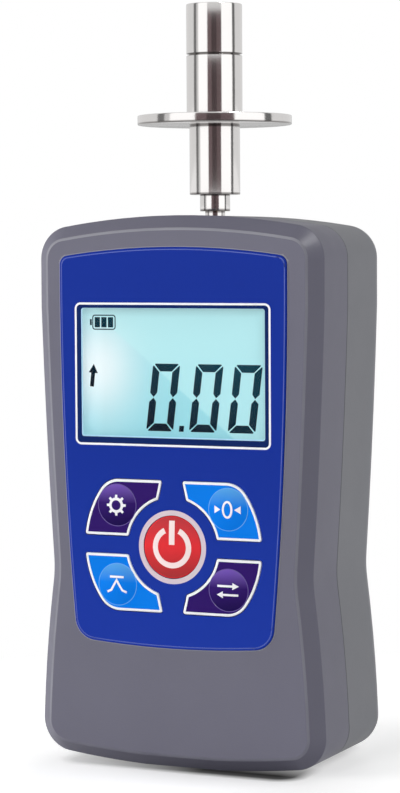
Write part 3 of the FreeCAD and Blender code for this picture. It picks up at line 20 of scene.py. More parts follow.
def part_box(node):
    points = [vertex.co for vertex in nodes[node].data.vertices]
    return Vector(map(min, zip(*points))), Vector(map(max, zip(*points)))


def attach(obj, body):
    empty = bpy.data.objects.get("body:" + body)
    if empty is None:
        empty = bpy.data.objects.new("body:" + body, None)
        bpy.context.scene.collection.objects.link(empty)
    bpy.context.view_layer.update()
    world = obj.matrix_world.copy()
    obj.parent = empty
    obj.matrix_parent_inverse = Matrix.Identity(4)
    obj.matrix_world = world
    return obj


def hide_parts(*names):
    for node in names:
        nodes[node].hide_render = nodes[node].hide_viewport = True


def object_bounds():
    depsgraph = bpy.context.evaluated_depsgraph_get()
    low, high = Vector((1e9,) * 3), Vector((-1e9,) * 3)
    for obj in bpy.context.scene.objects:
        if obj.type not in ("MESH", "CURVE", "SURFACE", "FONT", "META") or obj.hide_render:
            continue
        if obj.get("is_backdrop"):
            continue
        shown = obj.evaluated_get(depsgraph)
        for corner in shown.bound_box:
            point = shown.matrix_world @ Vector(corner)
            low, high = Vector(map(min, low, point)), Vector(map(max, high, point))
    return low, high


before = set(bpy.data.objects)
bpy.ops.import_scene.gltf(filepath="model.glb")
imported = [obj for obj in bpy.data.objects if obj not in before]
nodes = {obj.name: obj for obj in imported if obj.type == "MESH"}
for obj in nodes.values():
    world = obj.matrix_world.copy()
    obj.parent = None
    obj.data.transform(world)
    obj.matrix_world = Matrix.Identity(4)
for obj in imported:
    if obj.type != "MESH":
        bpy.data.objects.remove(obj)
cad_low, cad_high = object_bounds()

MM = 0.001
print("CAD box in mm:", [round(v / MM, 2) for v in (*cad_low, *cad_high)])

# %% [markdown]
# ## The camera
#
# The photograph looks at the tester from a little to its right and just above.
# A long lens half a metre away gives the same faint perspective. The angles say
# where the camera stands round the object, as on a turntable, and a small
# shift of the lens puts the object where the picture has it.

# %% Camera
AZIMUTH, ELEVATION, ROLL = map(math.radians, (24.62, 3.375, -0.304))
CAMERA_AWAY = 0.50246
AIM = Vector((0, -0.00235, 0.0720))
PHOTO_TALL = 793
FOCAL_PIXELS = 2528.2
SHIFT_PIXELS = (-6.5, 0.3)
SENSOR = 36.0


def direction(azimuth, elevation):
    """Out from the object, the azimuth counted from its front towards its right."""
    level = math.cos(elevation)
    return Vector((math.sin(azimuth) * level, -math.cos(azimuth) * level, math.sin(elevation)))


def put_in_scene(name, data):
    made = bpy.data.objects.new(name, data)
    bpy.context.scene.collection.objects.link(made)
    return made


toward_camera = direction(AZIMUTH, ELEVATION)
camera = put_in_scene("camera", bpy.data.cameras.new("camera"))
camera.data.sensor_width = SENSOR
camera.data.lens = FOCAL_PIXELS / PHOTO_TALL * SENSOR
camera.data.shift_x, camera.data.shift_y = (pixels / PHOTO_TALL for pixels in SHIFT_PIXELS)
camera.data.clip_start, camera.data.clip_end = 0.01, 20
look = (-toward_camera).to_track_quat("-Z", "Y").to_matrix().to_4x4()
camera.matrix_world = (Matrix.Translation(AIM + toward_camera * CAMERA_AWAY)
                       @ look @ Matrix.Rotation(ROLL, 4, "Z"))
bpy.context.scene.camera = camera
bpy.context.scene.view_settings.view_transform = "Standard"
print("lens", round(camera.data.lens, 2), "mm")

# %% [markdown]
# ## A short way to write materials
#
# Every finish here is a small tree of shader nodes, and a few helpers keep them
# readable. `node` makes one node and fills its inputs, with a number or with
# what another node gives. A `Link` is what a node gives, and it knows
# arithmetic: the sum of two links makes the node that adds them. `finish`
# starts a material with a Principled shader.

# %% Node helpers
class Link:
    """What a node gives. Arithmetic with it makes the nodes for it."""

    def __init__(self, socket):
        self.socket = socket
        self.tree = socket.id_data

    def __add__(self, other):
        return math_node("ADD", self, other)

    def __sub__(self, other):
        return math_node("SUBTRACT", self, other)

    def __rsub__(self, other):
        return math_node("SUBTRACT", other, self)

    def __mul__(self, other):
        return math_node("MULTIPLY", self, other)

    def __truediv__(self, other):
        return math_node("DIVIDE", self, other)

    def __abs__(self):
        return math_node("ABSOLUTE", self)


def feed(tree, socket, value):
    """Set an input to a value, or link it to what another node gives."""
    if isinstance(value, Link):
        value = value.socket
    if isinstance(value, bpy.types.NodeSocket):
        tree.links.new(value, socket)
    else:
        socket.default_value = value


def node(tree, kind, inputs=None, **settings):
    """One node, its settings, and its inputs as values or as links."""
    made = tree.nodes.new(kind)
    for name, value in settings.items():
        setattr(made, name, value)
    for name, value in (inputs or {}).items():
        feed(tree, made.inputs[name], value)
    return made


def math_node(operation, *values, clamp=False):
    """The result of one sum, in the tree of the first link among its values."""
    tree = next(value.tree for value in values if isinstance(value, Link))
    return Link(node(tree, "ShaderNodeMath", dict(enumerate(values)),
                     operation=operation, use_clamp=clamp).outputs[0])


def clamped(value):
    """Held between 0 and 1."""
    return math_node("ADD", value, 0.0, clamp=True)


def split(vector):
    """The x, y and z of a vector."""
    made = node(vector.tree, "ShaderNodeSeparateXYZ", {0: vector})
    return [Link(socket) for socket in made.outputs]


def blend(share, first, second):
    """The colour between two, by share."""
    made = node(share.tree, "ShaderNodeMix", {0: share, 6: first, 7: second}, data_type="RGBA")
    return Link(made.outputs[2])


def darkened(shade, by):
    """A colour times another."""
    made = node(shade.tree, "ShaderNodeMix", {0: 1.0, 6: shade, 7: by},
                data_type="RGBA", blend_type="MULTIPLY")
    return Link(made.outputs[2])


def ramp(share, *stops):
    """Greys along a share, from (place, grey) pairs."""
    made = node(share.tree, "ShaderNodeValToRGB", {"Fac": share})
    bar = made.color_ramp.elements
    while len(bar) < len(stops):
        bar.new(0.5)
    for mark, (place, grey) in zip(bar, stops):
        mark.position = place
        mark.color = (grey, grey, grey, 1)
    return Link(made.outputs["Color"])


def texture_place(tree, kind="Object"):
    return Link(node(tree, "ShaderNodeTexCoord").outputs[kind])


def places(tree, scale=(1, 1, 1), shift=(0, 0, 0)):
    """The piece's own coordinates in metres, scaled."""
    return Link(node(tree, "ShaderNodeMapping", {
        "Vector": texture_place(tree), "Scale": scale, "Location": shift}).outputs[0])


def in_millimetres(tree):
    """The piece's own x, y and z in millimetres."""
    return split(places(tree, (1 / MM, 1 / MM, 1 / MM)))


def noise(vector, scale, detail=3.0, rough=0.5):
    return Link(node(vector.tree, "ShaderNodeTexNoise", {
        "Vector": vector, "Scale": scale, "Detail": detail, "Roughness": rough}).outputs["Fac"])


def bump(height, distance, strength=1.0):
    return Link(node(height.tree, "ShaderNodeBump", {
        "Height": height, "Distance": distance, "Strength": strength}).outputs[0])


def finish(name):
    """A new material: its tree and its Principled shader."""
    made = bpy.data.materials.new(name)
    made.use_nodes = True
    tree = made.node_tree
    return made, tree, tree.nodes["Principled BSDF"]


def put(made, **inputs):
    """Set or link inputs of a material's shader, with _ for a space in a name."""
    tree = made.node_tree
    shader = tree.nodes["Principled BSDF"]
    for name, value in inputs.items():
        feed(tree, shader.inputs[name.replace("_", " ")], value)
    return made


def own_colour(made):
    """The colour that a material has so far."""
    return Link(made.node_tree.nodes["Principled BSDF"].inputs["Base Color"].links[0].from_socket)


def mix_shaders(share, first, second):
    return node(share.tree, "ShaderNodeMixShader", {0: share, 1: first.outputs[0], 2: second.outputs[0]})


def show(tree, result, output="Material Output"):
    """Make a shader the tree's result."""
    tree.links.new(result.outputs[0], tree.nodes[output].inputs["Surface"])


def colour(red, green, blue, times=1.0):
    return (min(1, red * times), min(1, green * times), min(1, blue * times), 1)


# %% [markdown]
# ## Moulded plastic
#
# The case is injection moulded. Up close such plastic isn't one colour: the
# mould's fine spark texture breaks the light, the pigment drifts a little along
# the flow, and handling polishes it unevenly. So the colour varies by a few
# hundredths on a broad noise, the roughness varies on another, and a fine noise
# lifts the surface by up to two hundredths of a millimetre. One recipe makes all
# the plastics, harder or softer, glossy or matt. Along the edge of the front
# bevel a thin light line is a painted highlight: the shader knows that
# edge by its tilt, between the flat face and the bevel.

# %% Plastic recipe
def moulded(name, base, rough, grain=0.004, grain_scale=4200, drift=0.06, gloss=0.4):
    made, tree, _ = finish(name)
    where = places(tree)
    pigment = noise(where, 55, 2)
    polish = noise(where, 160, 4, 0.6)
    return put(made, Specular_IOR_Level=gloss,
               Base_Color=blend(pigment, colour(*base, 1 - drift), colour(*base, 1 + drift)),
               Roughness=polish * 0.1 + max(0.02, rough - 0.05),
               Normal=bump(noise(where, grain_scale, 2), grain * MM))


def painted_edge_highlight(made, low, high, highlight_colour):
    """Paint a highlight on a moulding where its surface turns between two tilts."""
    tree = made.node_tree
    x, y, z = split(texture_place(tree, "Normal"))
    share = ramp(y * -1.0, (low, 0.0), (low + 0.04, 1.0), (high - 0.02, 1.0), (high, 0.0))
    # The painted highlight is strongest on the upper and left edges, broken up by noise
    highlight_side = z * 0.9 + (x * -0.4 + 0.3) + noise(places(tree), 120, 3) * 0.6
    put(made, Base_Color=blend(clamped(share * highlight_side), own_colour(made), colour(*highlight_colour)))


case_front = moulded("moulded_front_grey", (0.150, 0.147, 0.193), 0.44, 0.02, 3000, gloss=0.25)
# Painted light: the rear shell, taken to be the front's plastic, is given a lighter grey for the light on its
# side
case_rear = moulded("moulded_rear_grey", (0.194, 0.198, 0.219), 0.48, 0.02, 3000, gloss=0.25)
# A painted highlight along the inner edge of the front bevel
painted_edge_highlight(case_front, 0.80, 0.985, (0.275, 0.275, 0.31))
white_plastic = moulded("white_plastic", (0.72, 0.72, 0.69), 0.4)
black_plastic = moulded("black_moulding_compound", (0.02, 0.02, 0.022), 0.5, 0.01)
strip_rubber = moulded("strip_silicone", (0.24, 0.25, 0.25), 0.6, 0.01)
print("plastics made")

# %% [markdown]
# ## Printed foil, keys and inks
#
# The panel is a satin foil printed deep blue. The keys are gloss plastic, dark
# purple, azure and red, and white ink draws their borders and signs. The dome
# of each key has a painted highlight above and painted shade below. The foil's
# blue is painted lighter towards its foot, as painted light.

# %% Foil, keys and inks
KEYS_MIDDLE = (-0.45, 43.6)
BUBBLE_X, BUBBLE_Z = 11.9, 7.8
BUBBLE_RADIUS, POWER_RADIUS = 4.15, 5.9


def dome_height(tree, across, up, radius):
    """From -1 to 1: how high a point sits on a dome, and 1 only inside its circle."""
    x, _, z = in_millimetres(tree)
    x, z = x - KEYS_MIDDLE[0], z - KEYS_MIDDLE[1]
    # The domes stand mirrored round the middle, so both distances are taken without sign
    out_x, out_z = abs(x) - across, abs(z) - up
    inside = math_node("LESS_THAN", out_x * out_x + out_z * out_z, radius ** 2)
    return out_z * math_node("SIGN", z) / radius, inside


def key_plastic_painted_shading(name, base, highlight_colour, painted_dark, across=BUBBLE_X, up=BUBBLE_Z, radius=BUBBLE_RADIUS):
    """Gloss plastic whose dome has a painted highlight above and painted shade below."""
    made = moulded(name, base, 0.22, 0.001, 1500, 0.04, gloss=0.08)
    own = own_colour(made)
    high, inside = dome_height(made.node_tree, across, up, radius)
    # Painted highlight on the dome's upper part, painted shade on its lower part
    painted_highlight_share = ramp(high, (0.1, 0.0), (0.4, 0.35), (0.95, 1.0))
    painted_shade_share = ramp(high * -1.0, (0.0, 0.0), (0.9, 1.0))
    shade = blend(painted_highlight_share, blend(painted_shade_share, own, colour(*painted_dark)), colour(*highlight_colour))
    return put(made, Base_Color=blend(inside, own, shade))


def foil_painted_lighter_at_foot():
    """The panel's foil: its blue is painted lighter towards the foot, as painted light."""
    made = moulded("panel_foil_blue", (0.0078, 0.032, 0.312), 0.36, 0.002, 2600, 0.03, gloss=0.05)
    decimetres = split(places(made.node_tree, (10, 10, 10)))
    # Painted light: the blue turns lighter towards the foot
    foot = ramp(decimetres[2], (0.24, 1.0), (0.62, 0.0))
    return put(made, Base_Color=blend(foot, own_colour(made), colour(0.0125, 0.0415, 0.37)))


panel_foil = foil_painted_lighter_at_foot()
key_purple = key_plastic_painted_shading("key_purple_gloss", (0.028, 0.006, 0.135),
                         (0.17, 0.085, 0.45), (0.010, 0.0015, 0.07))
key_azure = key_plastic_painted_shading("key_azure_gloss", (0.0005, 0.205, 0.840), (0.09, 0.37, 0.80), (0.001, 0.19, 0.80))
key_red = key_plastic_painted_shading("key_red_gloss", (0.790, 0.032, 0.040), (0.52, 0.040, 0.050), (0.42, 0.034, 0.038),
                      0, 0, POWER_RADIUS)
ink_white = moulded("ink_white", (0.93, 0.935, 0.97), 0.4, 0.001, 2500, 0.02)
ink_halo = moulded("ink_halo", (0.70, 0.58, 0.64), 0.4, 0.001, 2500, 0.03)
ink_power = moulded("ink_power_white", (0.97, 0.79, 0.78), 0.35, 0.001, 2500, 0.03)
panel_line_highlight = moulded("panel_edge_light", (0.07, 0.11, 0.43), 0.3, 0.001, 2500, 0.03)
lip_painted_highlight = moulded("panel_lip_grey", (0.26, 0.26, 0.30), 0.4, 0.002, 2500, 0.05, gloss=0.25)
painted_glint = moulded("window_glint", (0.42, 0.72, 0.92), 0.3, 0.001, 2500, 0.03)
band_ink_and_shade = moulded("band_ink_and_shade", (0.005, 0.020, 0.118), 0.3, 0.001, 2500, 0.05, gloss=0.04)
ink_signs = moulded("ink_signs_white", (0.93, 0.92, 0.95), 0.35, 0.001, 2500, 0.02)
rim_highlight_purple = moulded("key_purple_rim", (0.14, 0.085, 0.34), 0.2, 0.001, 1500, 0.04)
rim_highlight_azure = moulded("key_azure_rim", (0.12, 0.42, 0.90), 0.2, 0.001, 1500, 0.04)
print("foil and inks made")

# %% [markdown]
# ## Metals
#
# The probe is turned on a lathe and polished, so its tool marks run round the
# axis. Noise that is squeezed along the axis draws them: on the surface it
# changes only with height. Painted shade darkens the groove and the corners
# between the pieces. The same recipe, duller, does for
# screws and for the milled load cell, and the marks can run another way by the
# scale's axes.

# %% Metal recipe
def metal(name, base, rough, lines=(300, 300, 300), depth=0.001, drift=0.05, marks=0.12):
    made, tree, _ = finish(name)
    drawn = noise(places(tree, lines), 1.0, 5, 0.65)
    smudge = noise(places(tree), 90, 3)
    return put(made, Metallic=1.0, Roughness=drawn * marks + rough,
               Base_Color=blend(smudge, colour(*base, 1 - drift), colour(*base)),
               Normal=bump(drawn, depth * MM, 0.6))


def painted_shade_bands(made, bands):
    """Paint shade on a turned piece in bands: each band has a height, a half width and a share."""
    height = in_millimetres(made.node_tree)[2]
    share = None
    for middle, half, painted_dark in bands:
        near = clamped((1.0 - abs(height - middle) / half) * 2.0) * painted_dark
        share = near if share is None else math_node("MAXIMUM", share, near)
    put(made, Base_Color=blend(share, own_colour(made), colour(0.06, 0.05, 0.045)))


turned_steel = metal("turned_steel", (0.80, 0.78, 0.77), 0.07, (20, 20, 9000), 0.0008, marks=0.08)
# Painted shade in the groove at ten millimetres, under the flange, and at the lower edges of sleeve and
# collar
painted_shade_bands(turned_steel, [(139.81, 0.34, 0.85), (125.9, 0.5, 0.75), (112.2, 0.42, 0.7), (108.9, 0.5, 0.7)])
plain_steel = metal("plain_steel", (0.56, 0.55, 0.53), 0.28, (900, 900, 900), 0.002, 0.1)
milled_aluminium = metal("milled_aluminium", (0.74, 0.75, 0.76), 0.3, (400, 400, 5000), 0.002)
contact_steel = metal("contact_steel", (0.66, 0.64, 0.58), 0.22, (1500, 200, 200), 0.001)
bush_brass = metal("bush_brass", (0.72, 0.50, 0.20), 0.24, (20, 20, 7000), 0.001)
gauge_foil = metal("gauge_foil", (0.62, 0.36, 0.16), 0.35, (9000, 300, 300), 0.002)
print("metals made")

# %% [markdown]
# ## Lacquered board, battery sleeve, leads and clear window
#
# Inside, the board's green lacquer lies over copper tracks that show as slightly
# lighter lines. A battery has a printed plastic sleeve, dark with a gold band at
# the plus end, between bare metal ends. The window over the display is clear
# plastic with an anti-glare coat, so it mirrors little: its index of refraction
# is set low. Lamps have to reach what is behind it, so for shadow rays alone it
# is plainly transparent.

# %% Board, sleeve, lead and window materials
cell_low, cell_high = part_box("battery_left")
CELL_MIDDLE = (cell_low.z + cell_high.z) / 2 / MM
CELL_HALF_PITCH = 5.4
GOLD_FROM, BARE_FROM = 8.5, 21.5


def board_lacquer():
    made, tree, _ = finish("board_lacquer")
    tracks = Link(node(tree, "ShaderNodeTexBrick", {
        "Vector": places(tree, (420, 420, 420)), "Scale": 1.0, "Mortar Size": 0.06,
        "Mortar Smooth": 0.1, "Brick Width": 1.1, "Row Height": 0.4}).outputs["Fac"])
    return put(made, Roughness=0.3, Coat_Weight=0.4, Normal=bump(tracks, 0.03 * MM),
               Base_Color=blend(tracks, colour(0.012, 0.10, 0.035), colour(0.03, 0.19, 0.07)))


def battery_sleeve():
    made, tree, _ = finish("battery_sleeve")
    x, _, z = in_millimetres(tree)
    # The middle cell stands the other way round
    way = math_node("LESS_THAN", abs(x), CELL_HALF_PITCH) * -2.0 + 1.0
    along = z - CELL_MIDDLE
    banded = math_node("GREATER_THAN", along * way, GOLD_FROM)
    bare = math_node("GREATER_THAN", abs(along), BARE_FROM)
    scuffs = noise(places(tree, (1, 1, 0.1)), 900, 5)
    shade = blend(banded, colour(0.022, 0.024, 0.028), colour(0.55, 0.33, 0.08))
    return put(made, Base_Color=blend(bare, shade, colour(0.62, 0.62, 0.60)), Coat_Weight=0.4,
               Metallic=bare, Roughness=scuffs * 0.2 + 0.2, Normal=bump(scuffs, 0.01 * MM))


def clear_window():
    made, tree, shader = finish("clear_window")
    put(made, Base_Color=colour(0.985, 0.995, 0.995), Transmission_Weight=1.0, IOR=1.12,
        Specular_IOR_Level=0.3, Roughness=noise(places(tree), 60, 3) * 0.03)
    lets_lamps = node(tree, "ShaderNodeBsdfTransparent", {"Color": colour(0.96, 0.98, 0.98)})
    shadow = Link(node(tree, "ShaderNodeLightPath").outputs["Is Shadow Ray"])
    show(tree, mix_shaders(shadow, shader, lets_lamps))
    return made


board_green = board_lacquer()
battery_wrap = battery_sleeve()
window_clear = clear_window()
lead_grey = moulded("lead_grey", (0.16, 0.16, 0.17), 0.45, 0.006)
lead_red = moulded("lead_red", (0.45, 0.02, 0.02), 0.4, 0.006)
lead_black = moulded("lead_black", (0.012, 0.012, 0.013), 0.4, 0.006)
print("inner finishes made")

# %% [markdown]
# ## The display
#
# A liquid crystal display in light blue-green. Its colour holds painted light: a
# painted glow at the left, a faint slanting painted reflection, a painted
# lightening towards the top, and painted shade under the frame's upper and right
# edges. The picture is a few soft gradients in the display's own place, so it
# stays put from every side. Most of the colour is given to the shader's emission,
# a painted glow, and a strip at the left edge glows more, which paints light over
# the shadow of the window's wall.

# %% Display material
LCD_MIDDLE = Vector((-0.45, 0, 77.05)) * MM
LCD_WIDE, LCD_TALL = 39.8 * MM, 25.8 * MM


def display_place(tree):
    """Across and up on the display, each from -0.5 to 0.5."""
    across, _, up = split(places(
        tree, (1 / LCD_WIDE, 1, 1 / LCD_TALL),
        shift=(-LCD_MIDDLE.x / LCD_WIDE, 0, -LCD_MIDDLE.z / LCD_TALL)))
    return across, up


def display_painted_light():
    made, tree, _ = finish("display_painted_light")
    across, up = display_place(tree)
    # The painted glow sits at the left, at mid height, and fades like a bell curve
    right, over = across + 0.42, up - 0.05
    far = right * (right * 26.0) + over * (over * 8.0)
    painted_glow = math_node("POWER", 2.718, far * -1.0)
    # Painted light: lighter towards the top
    body = blend(clamped(up + 0.5), colour(0.275, 0.640, 0.725), colour(0.385, 0.750, 0.800))
    body = blend(painted_glow, body, colour(0.80, 0.90, 0.93))
    # A faint slanting painted reflection, lighter above a slanting border
    painted_reflection = ramp(across + (up * 0.8 + 0.5), (0.425, 0.0), (0.445, 0.6))
    body = blend(painted_reflection, body, colour(0.50, 0.83, 0.86))
    # A shade along the upper edge and the right side, where the frame stands over the glass
    edge = math_node("MAXIMUM", across, up) * 2.0
    body = darkened(body, ramp(edge, (0.0, 1.0), (0.86, 1.0), (1.0, 0.82)))
    # Painted light: a strip at the left edge glows more, over the wall's shadow
    painted_light_strip = ramp(across + 0.5, (0.0, 1.0), (0.05, 0.95), (0.12, 0.80))
    return put(made, Base_Color=darkened(body, colour(0.36, 0.36, 0.36)),
               Roughness=noise(places(tree), 9000, 1) * 0.08 + 0.3,
               Emission_Color=darkened(body, painted_light_strip), Emission_Strength=0.76)


display_face = display_painted_light()


def figure_ink_painted_light():
    """Nearly black, painted lighter, to deep teal, towards the upper right as painted light."""
    made = moulded("display_figures", (0.006, 0.035, 0.055), 0.35, 0.001, 2500, 0.1, gloss=0.05)
    across, up = display_place(made.node_tree)
    # Painted light: the figures turn to deep teal towards the upper right
    rise = clamped(across * 0.7 + (up * 1.1 + 0.45))
    return put(made, Base_Color=blend(rise, colour(0.001, 0.005, 0.014), colour(0.003, 0.045, 0.070)))


ink_figures = figure_ink_painted_light()
print("display made")

# %% [markdown]
# ## Finishes on the CAD nodes
#
# Most solids from the CAD model are right as they are and only change finish:
# the record names a material slot for each, so one table from slot to material
# dresses them all.

# %% Dress the nodes
FINISH_OF_SLOT = {
    "case_front": case_front, "case_rear": case_rear, "panel_blue": panel_foil,
    "clear_window": window_clear, "key_purple": key_purple, "key_azure": key_azure,
    "key_red": key_red, "contact_steel": contact_steel, "display": display_face,
    "white_plastic": white_plastic, "strip_rubber": strip_rubber,
    "board_green": board_green, "black_plastic": black_plastic,
    "plain_steel": plain_steel, "plain_aluminium": milled_aluminium,
    "polished_steel": turned_steel, "bush_brass": bush_brass, "gauge_foil": gauge_foil,
    "battery_wrap": battery_wrap, "lead_grey": lead_grey, "lead_red": lead_red,
    "lead_black": lead_black,
}
for name, piece in nodes.items():
    for place in piece.material_slots:
        slot = place.material.name.split(".")[0]
        place.material = FINISH_OF_SLOT[slot]
print(len(nodes), "nodes dressed")

# %% [markdown]
# ## Helpers for thin prints
#
# Ink has a thickness, if a small one: these prints are thin solids that stand
# two hundredths of a millimetre proud. A border is a closed chain of rings, each
# a loop of points with its own depth. A filled sign is a flat outline with a
# front, a back and a wall between.

# %% Rings and plates
def add_piece(name, mesh, material, body):
    """A finished mesh as a piece that rides on a body."""
    mesh.materials.clear()
    mesh.materials.append(material)
    piece = put_in_scene(name, mesh)
    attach(piece, body)
    return piece


def mesh_from(name, points, faces, smooth=None):
    """A mesh in metres from points in millimetres, its faces turned outwards."""
    shape = bmesh.new()
    corners = [shape.verts.new(Vector(p) * MM) for p in points]
    for face in faces:
        shape.faces.new([corners[i] for i in face])
    bmesh.ops.recalc_face_normals(shape, faces=shape.faces)
    mesh = bpy.data.meshes.new(name)
    shape.to_mesh(mesh)
    shape.free()
    if smooth:
        mesh.shade_smooth()
        mesh.set_sharp_from_angle(angle=math.radians(smooth))
    return mesh


def rings(name, loops, smooth=None):
    """Loops of (x, z) with a depth y each, joined one to the next and the last to the first."""
    count = len(loops[0][0])
    points = [(x, y, z) for loop, y in loops for x, z in loop]
    faces = []
    for k in range(len(loops)):
        near, far = k * count, (k + 1) % len(loops) * count
        for i in range(count):
            j = (i + 1) % count
            faces.append((near + i, near + j, far + j, far + i))
    return mesh_from(name, points, faces, smooth)


def plates(name, outlines, front, back):
    """Flat filled outlines of (x, z), from the front depth to the back depth."""
    points, faces = [], []
    for outline in outlines:
        first, count = len(points), len(outline)
        points += [(x, front, z) for x, z in outline] + [(x, back, z) for x, z in outline]
        flat = tessellate_polygon([[Vector((x, z, 0)) for x, z in outline]])
        for tri in flat:
            faces.append([first + i for i in tri])
            faces.append([first + count + i for i in reversed(tri)])
        for i in range(count):
            j = (i + 1) % count
            faces.append((first + i, first + j, first + count + j, first + count + i))
    return mesh_from(name, points, faces)


def circle(radius, middle, count=96):
    turns = [2 * math.pi * i / count for i in range(count)]
    return [(middle[0] + radius * math.cos(a), middle[1] + radius * math.sin(a)) for a in turns]


def rounded_box(middle, wide, tall, radius, steps=8):
    """A rectangle's loop with round corners."""
    loop = []
    for across, up, start in ((1, 1, 0), (-1, 1, 90), (-1, -1, 180), (1, -1, 270)):
        x = middle[0] + across * (wide / 2 - radius)
        z = middle[1] + up * (tall / 2 - radius)
        for i in range(steps + 1):
            a = math.radians(start + 90 * i / steps)
            loop.append((x + radius * math.cos(a), z + radius * math.sin(a)))
    return loop


# %% [markdown]
# ## Rim of the panel
#
# The foil stands a little proud of the case, in a recess with a soft raised lip
# that catches the light and is painted a lighter grey, a painted highlight.
# Inside its edge a thin lighter line is a painted highlight too. Both follow the
# panel itself: the loop round the node's flat front face is read
# from its mesh and moved in or out corner by corner.

# %% Line and lip round the panel
def front_loop(name, level):
    """The outer loop of (x, z) round a node's flat front face, in millimetres."""
    shape = bmesh.new()
    shape.from_mesh(nodes[name].data)
    bmesh.ops.remove_doubles(shape, verts=shape.verts, dist=1e-7)
    front = {f for f in shape.faces
             if f.normal.y < -0.99 and abs(f.calc_center_median().y / MM - level) < 0.02}
    ahead = {}
    for edge in shape.edges:
        if len(front.intersection(edge.link_faces)) == 1:
            for one, other in (edge.verts, reversed(edge.verts)):
                ahead.setdefault(one, []).append(other)
    start = max(ahead, key=lambda v: v.co.x)
    loop, before, here = [], None, start
    while here != start or not loop:
        loop.append((here.co.x / MM, here.co.z / MM))
        before, here = here, next(v for v in ahead[here] if v != before)
    shape.free()
    area = sum(a[0] * b[1] - b[0] * a[1] for a, b in zip(loop, loop[1:] + loop[:1]))
    return loop if area > 0 else loop[::-1]


def widened(loop, by):
    """A loop moved outwards by a distance, corner by corner."""
    made = []
    for i, here in enumerate(loop):
        here, before, after = Vector(here), Vector(loop[i - 1]), Vector(loop[(i + 1) % len(loop)])
        one, other = (here - before).normalized(), (after - here).normalized()
        out = Vector((one.y + other.y, -one.x - other.x)).normalized()
        made.append(tuple(here + out * by / max(0.5, out.dot(Vector((one.y, -one.x))))))
    return made


PANEL_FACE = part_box("control_panel")[0].y / MM
CASE_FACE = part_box("front_cover")[0].y / MM
panel_loop = front_loop("control_panel", PANEL_FACE)
line = [(-0.32, 0.05), (-0.32, -0.012), (-0.14, -0.012), (-0.14, 0.05)]
lip = [(-0.02, 0.0), (0.06, -0.01), (0.3, -0.07), (0.42, -0.02), (0.42, 0.05)]
def along_panel(name, face, section, material, smooth=None):
    """A rim along the panel's loop, from a section of (outwards, depth) in millimetres."""
    loops = [(widened(panel_loop, by), face + y) for by, y in section]
    add_piece(name, rings(name, loops, smooth), material, "housing")


# Two painted highlights: the line inside the panel's edge and the lighter lip
along_panel("panel_line", PANEL_FACE, line, panel_line_highlight)
along_panel("panel_lip", CASE_FACE, lip, lip_painted_highlight, 50)
print("panel loop of", len(panel_loop), "points")

# %% [markdown]
# ## Border of the display window
#
# Round the window a white line is printed on the panel, and between line and
# window the foil is printed nearly black-blue, which makes the pale display stand
# out; that dark band is also painted shade of the recess round the window. A
# painted glint of the window's own edge runs along the left and the foot.

# %% Window border
INK = 0.02
WINDOW_MIDDLE = (LCD_MIDDLE.x / MM, LCD_MIDDLE.z / MM)
VIEW_MIDDLE, VIEW_WIDE, VIEW_TALL = (-0.34, 77.35), 39.2, 25.2
LINE_WIDE, LINE_TALL, LINE_INK = 41.8, 27.9, 0.42


def border(name, outer, inner, face, material, body):
    """A flat printed border between two loops."""
    mesh = rings(name, [(outer, face + 3 * INK), (outer, face - INK),
                        (inner, face - INK), (inner, face + 3 * INK)])
    return add_piece(name, mesh, material, body)


outer_line = rounded_box(WINDOW_MIDDLE, LINE_WIDE, LINE_TALL, 1.25)
inner_line = rounded_box(WINDOW_MIDDLE, LINE_WIDE - 2 * LINE_INK, LINE_TALL - 2 * LINE_INK, 0.8)
window_edge = rounded_box(VIEW_MIDDLE, VIEW_WIDE, VIEW_TALL, 0.5)
# The painted glint lies along the band's left and lower edge
GLINT = 0.32
glint_edge = rounded_box((VIEW_MIDDLE[0] + 0.11, VIEW_MIDDLE[1] + 0.11),
                         VIEW_WIDE - GLINT, VIEW_TALL - GLINT, 0.4)
border("window_line", outer_line, inner_line, PANEL_FACE, ink_white, "housing")
# The dark band is print, and painted shade of the window's recess as well
border("window_band", inner_line, window_edge, PANEL_FACE, band_ink_and_shade, "housing")
border("window_glint", window_edge, glint_edge, PANEL_FACE, painted_glint, "housing")
print("window border", LINE_WIDE, "x", LINE_TALL, "mm")

# %% [markdown]
# ## Borders and signs of the keys
#
# Each shaped key is a piece of a ring round the power key, cut straight on
# three sides, with one well-rounded shoulder. Its edges are lines and circles.
# To round a corner between two of them, move both inwards by the rounding's
# radius: where they meet is its centre. The same sum at any inset gives the
# inner and outer loop of the white border, which runs over the key's rim.

# %% Loops of a shaped key
KEY_INNER, KEY_OUTER = 9.6, 19.0
KEY_LOW, KEY_HIGH = 1.8, 12.95
NECK_HIGH, NECK_LOW = 2.1, 3.0
SHOULDER, CORNER = 5.0, 0.45


def leg(long_side, other_side):
    return math.sqrt(long_side ** 2 - other_side ** 2)


neck_foot = leg(KEY_INNER, NECK_LOW)
neck_run = Vector((NECK_LOW - NECK_HIGH, neck_foot - KEY_HIGH)).normalized()
neck_side = Vector((-neck_run.y, neck_run.x))
# The five edges: a line by its inward normal and distance, a circle by its radius and side
KEY_EDGES = [
    ("line", Vector((0, 1)), KEY_LOW), ("circle", KEY_OUTER, -1),
    ("line", Vector((0, -1)), -KEY_HIGH),
    ("line", neck_side, neck_side.dot(Vector((NECK_LOW, neck_foot)))),
    ("circle", KEY_INNER, 1),
]
KEY_CORNERS = [
    (leg(KEY_INNER, KEY_LOW), KEY_LOW), (leg(KEY_OUTER, KEY_LOW), KEY_LOW),
    (leg(KEY_OUTER, KEY_HIGH), KEY_HIGH), (NECK_HIGH, KEY_HIGH), (NECK_LOW, neck_foot),
]


def moved_in(edge, by):
    kind, first, second = edge
    return (kind, first, second + by) if kind == "line" else (kind, first + second * by, second)


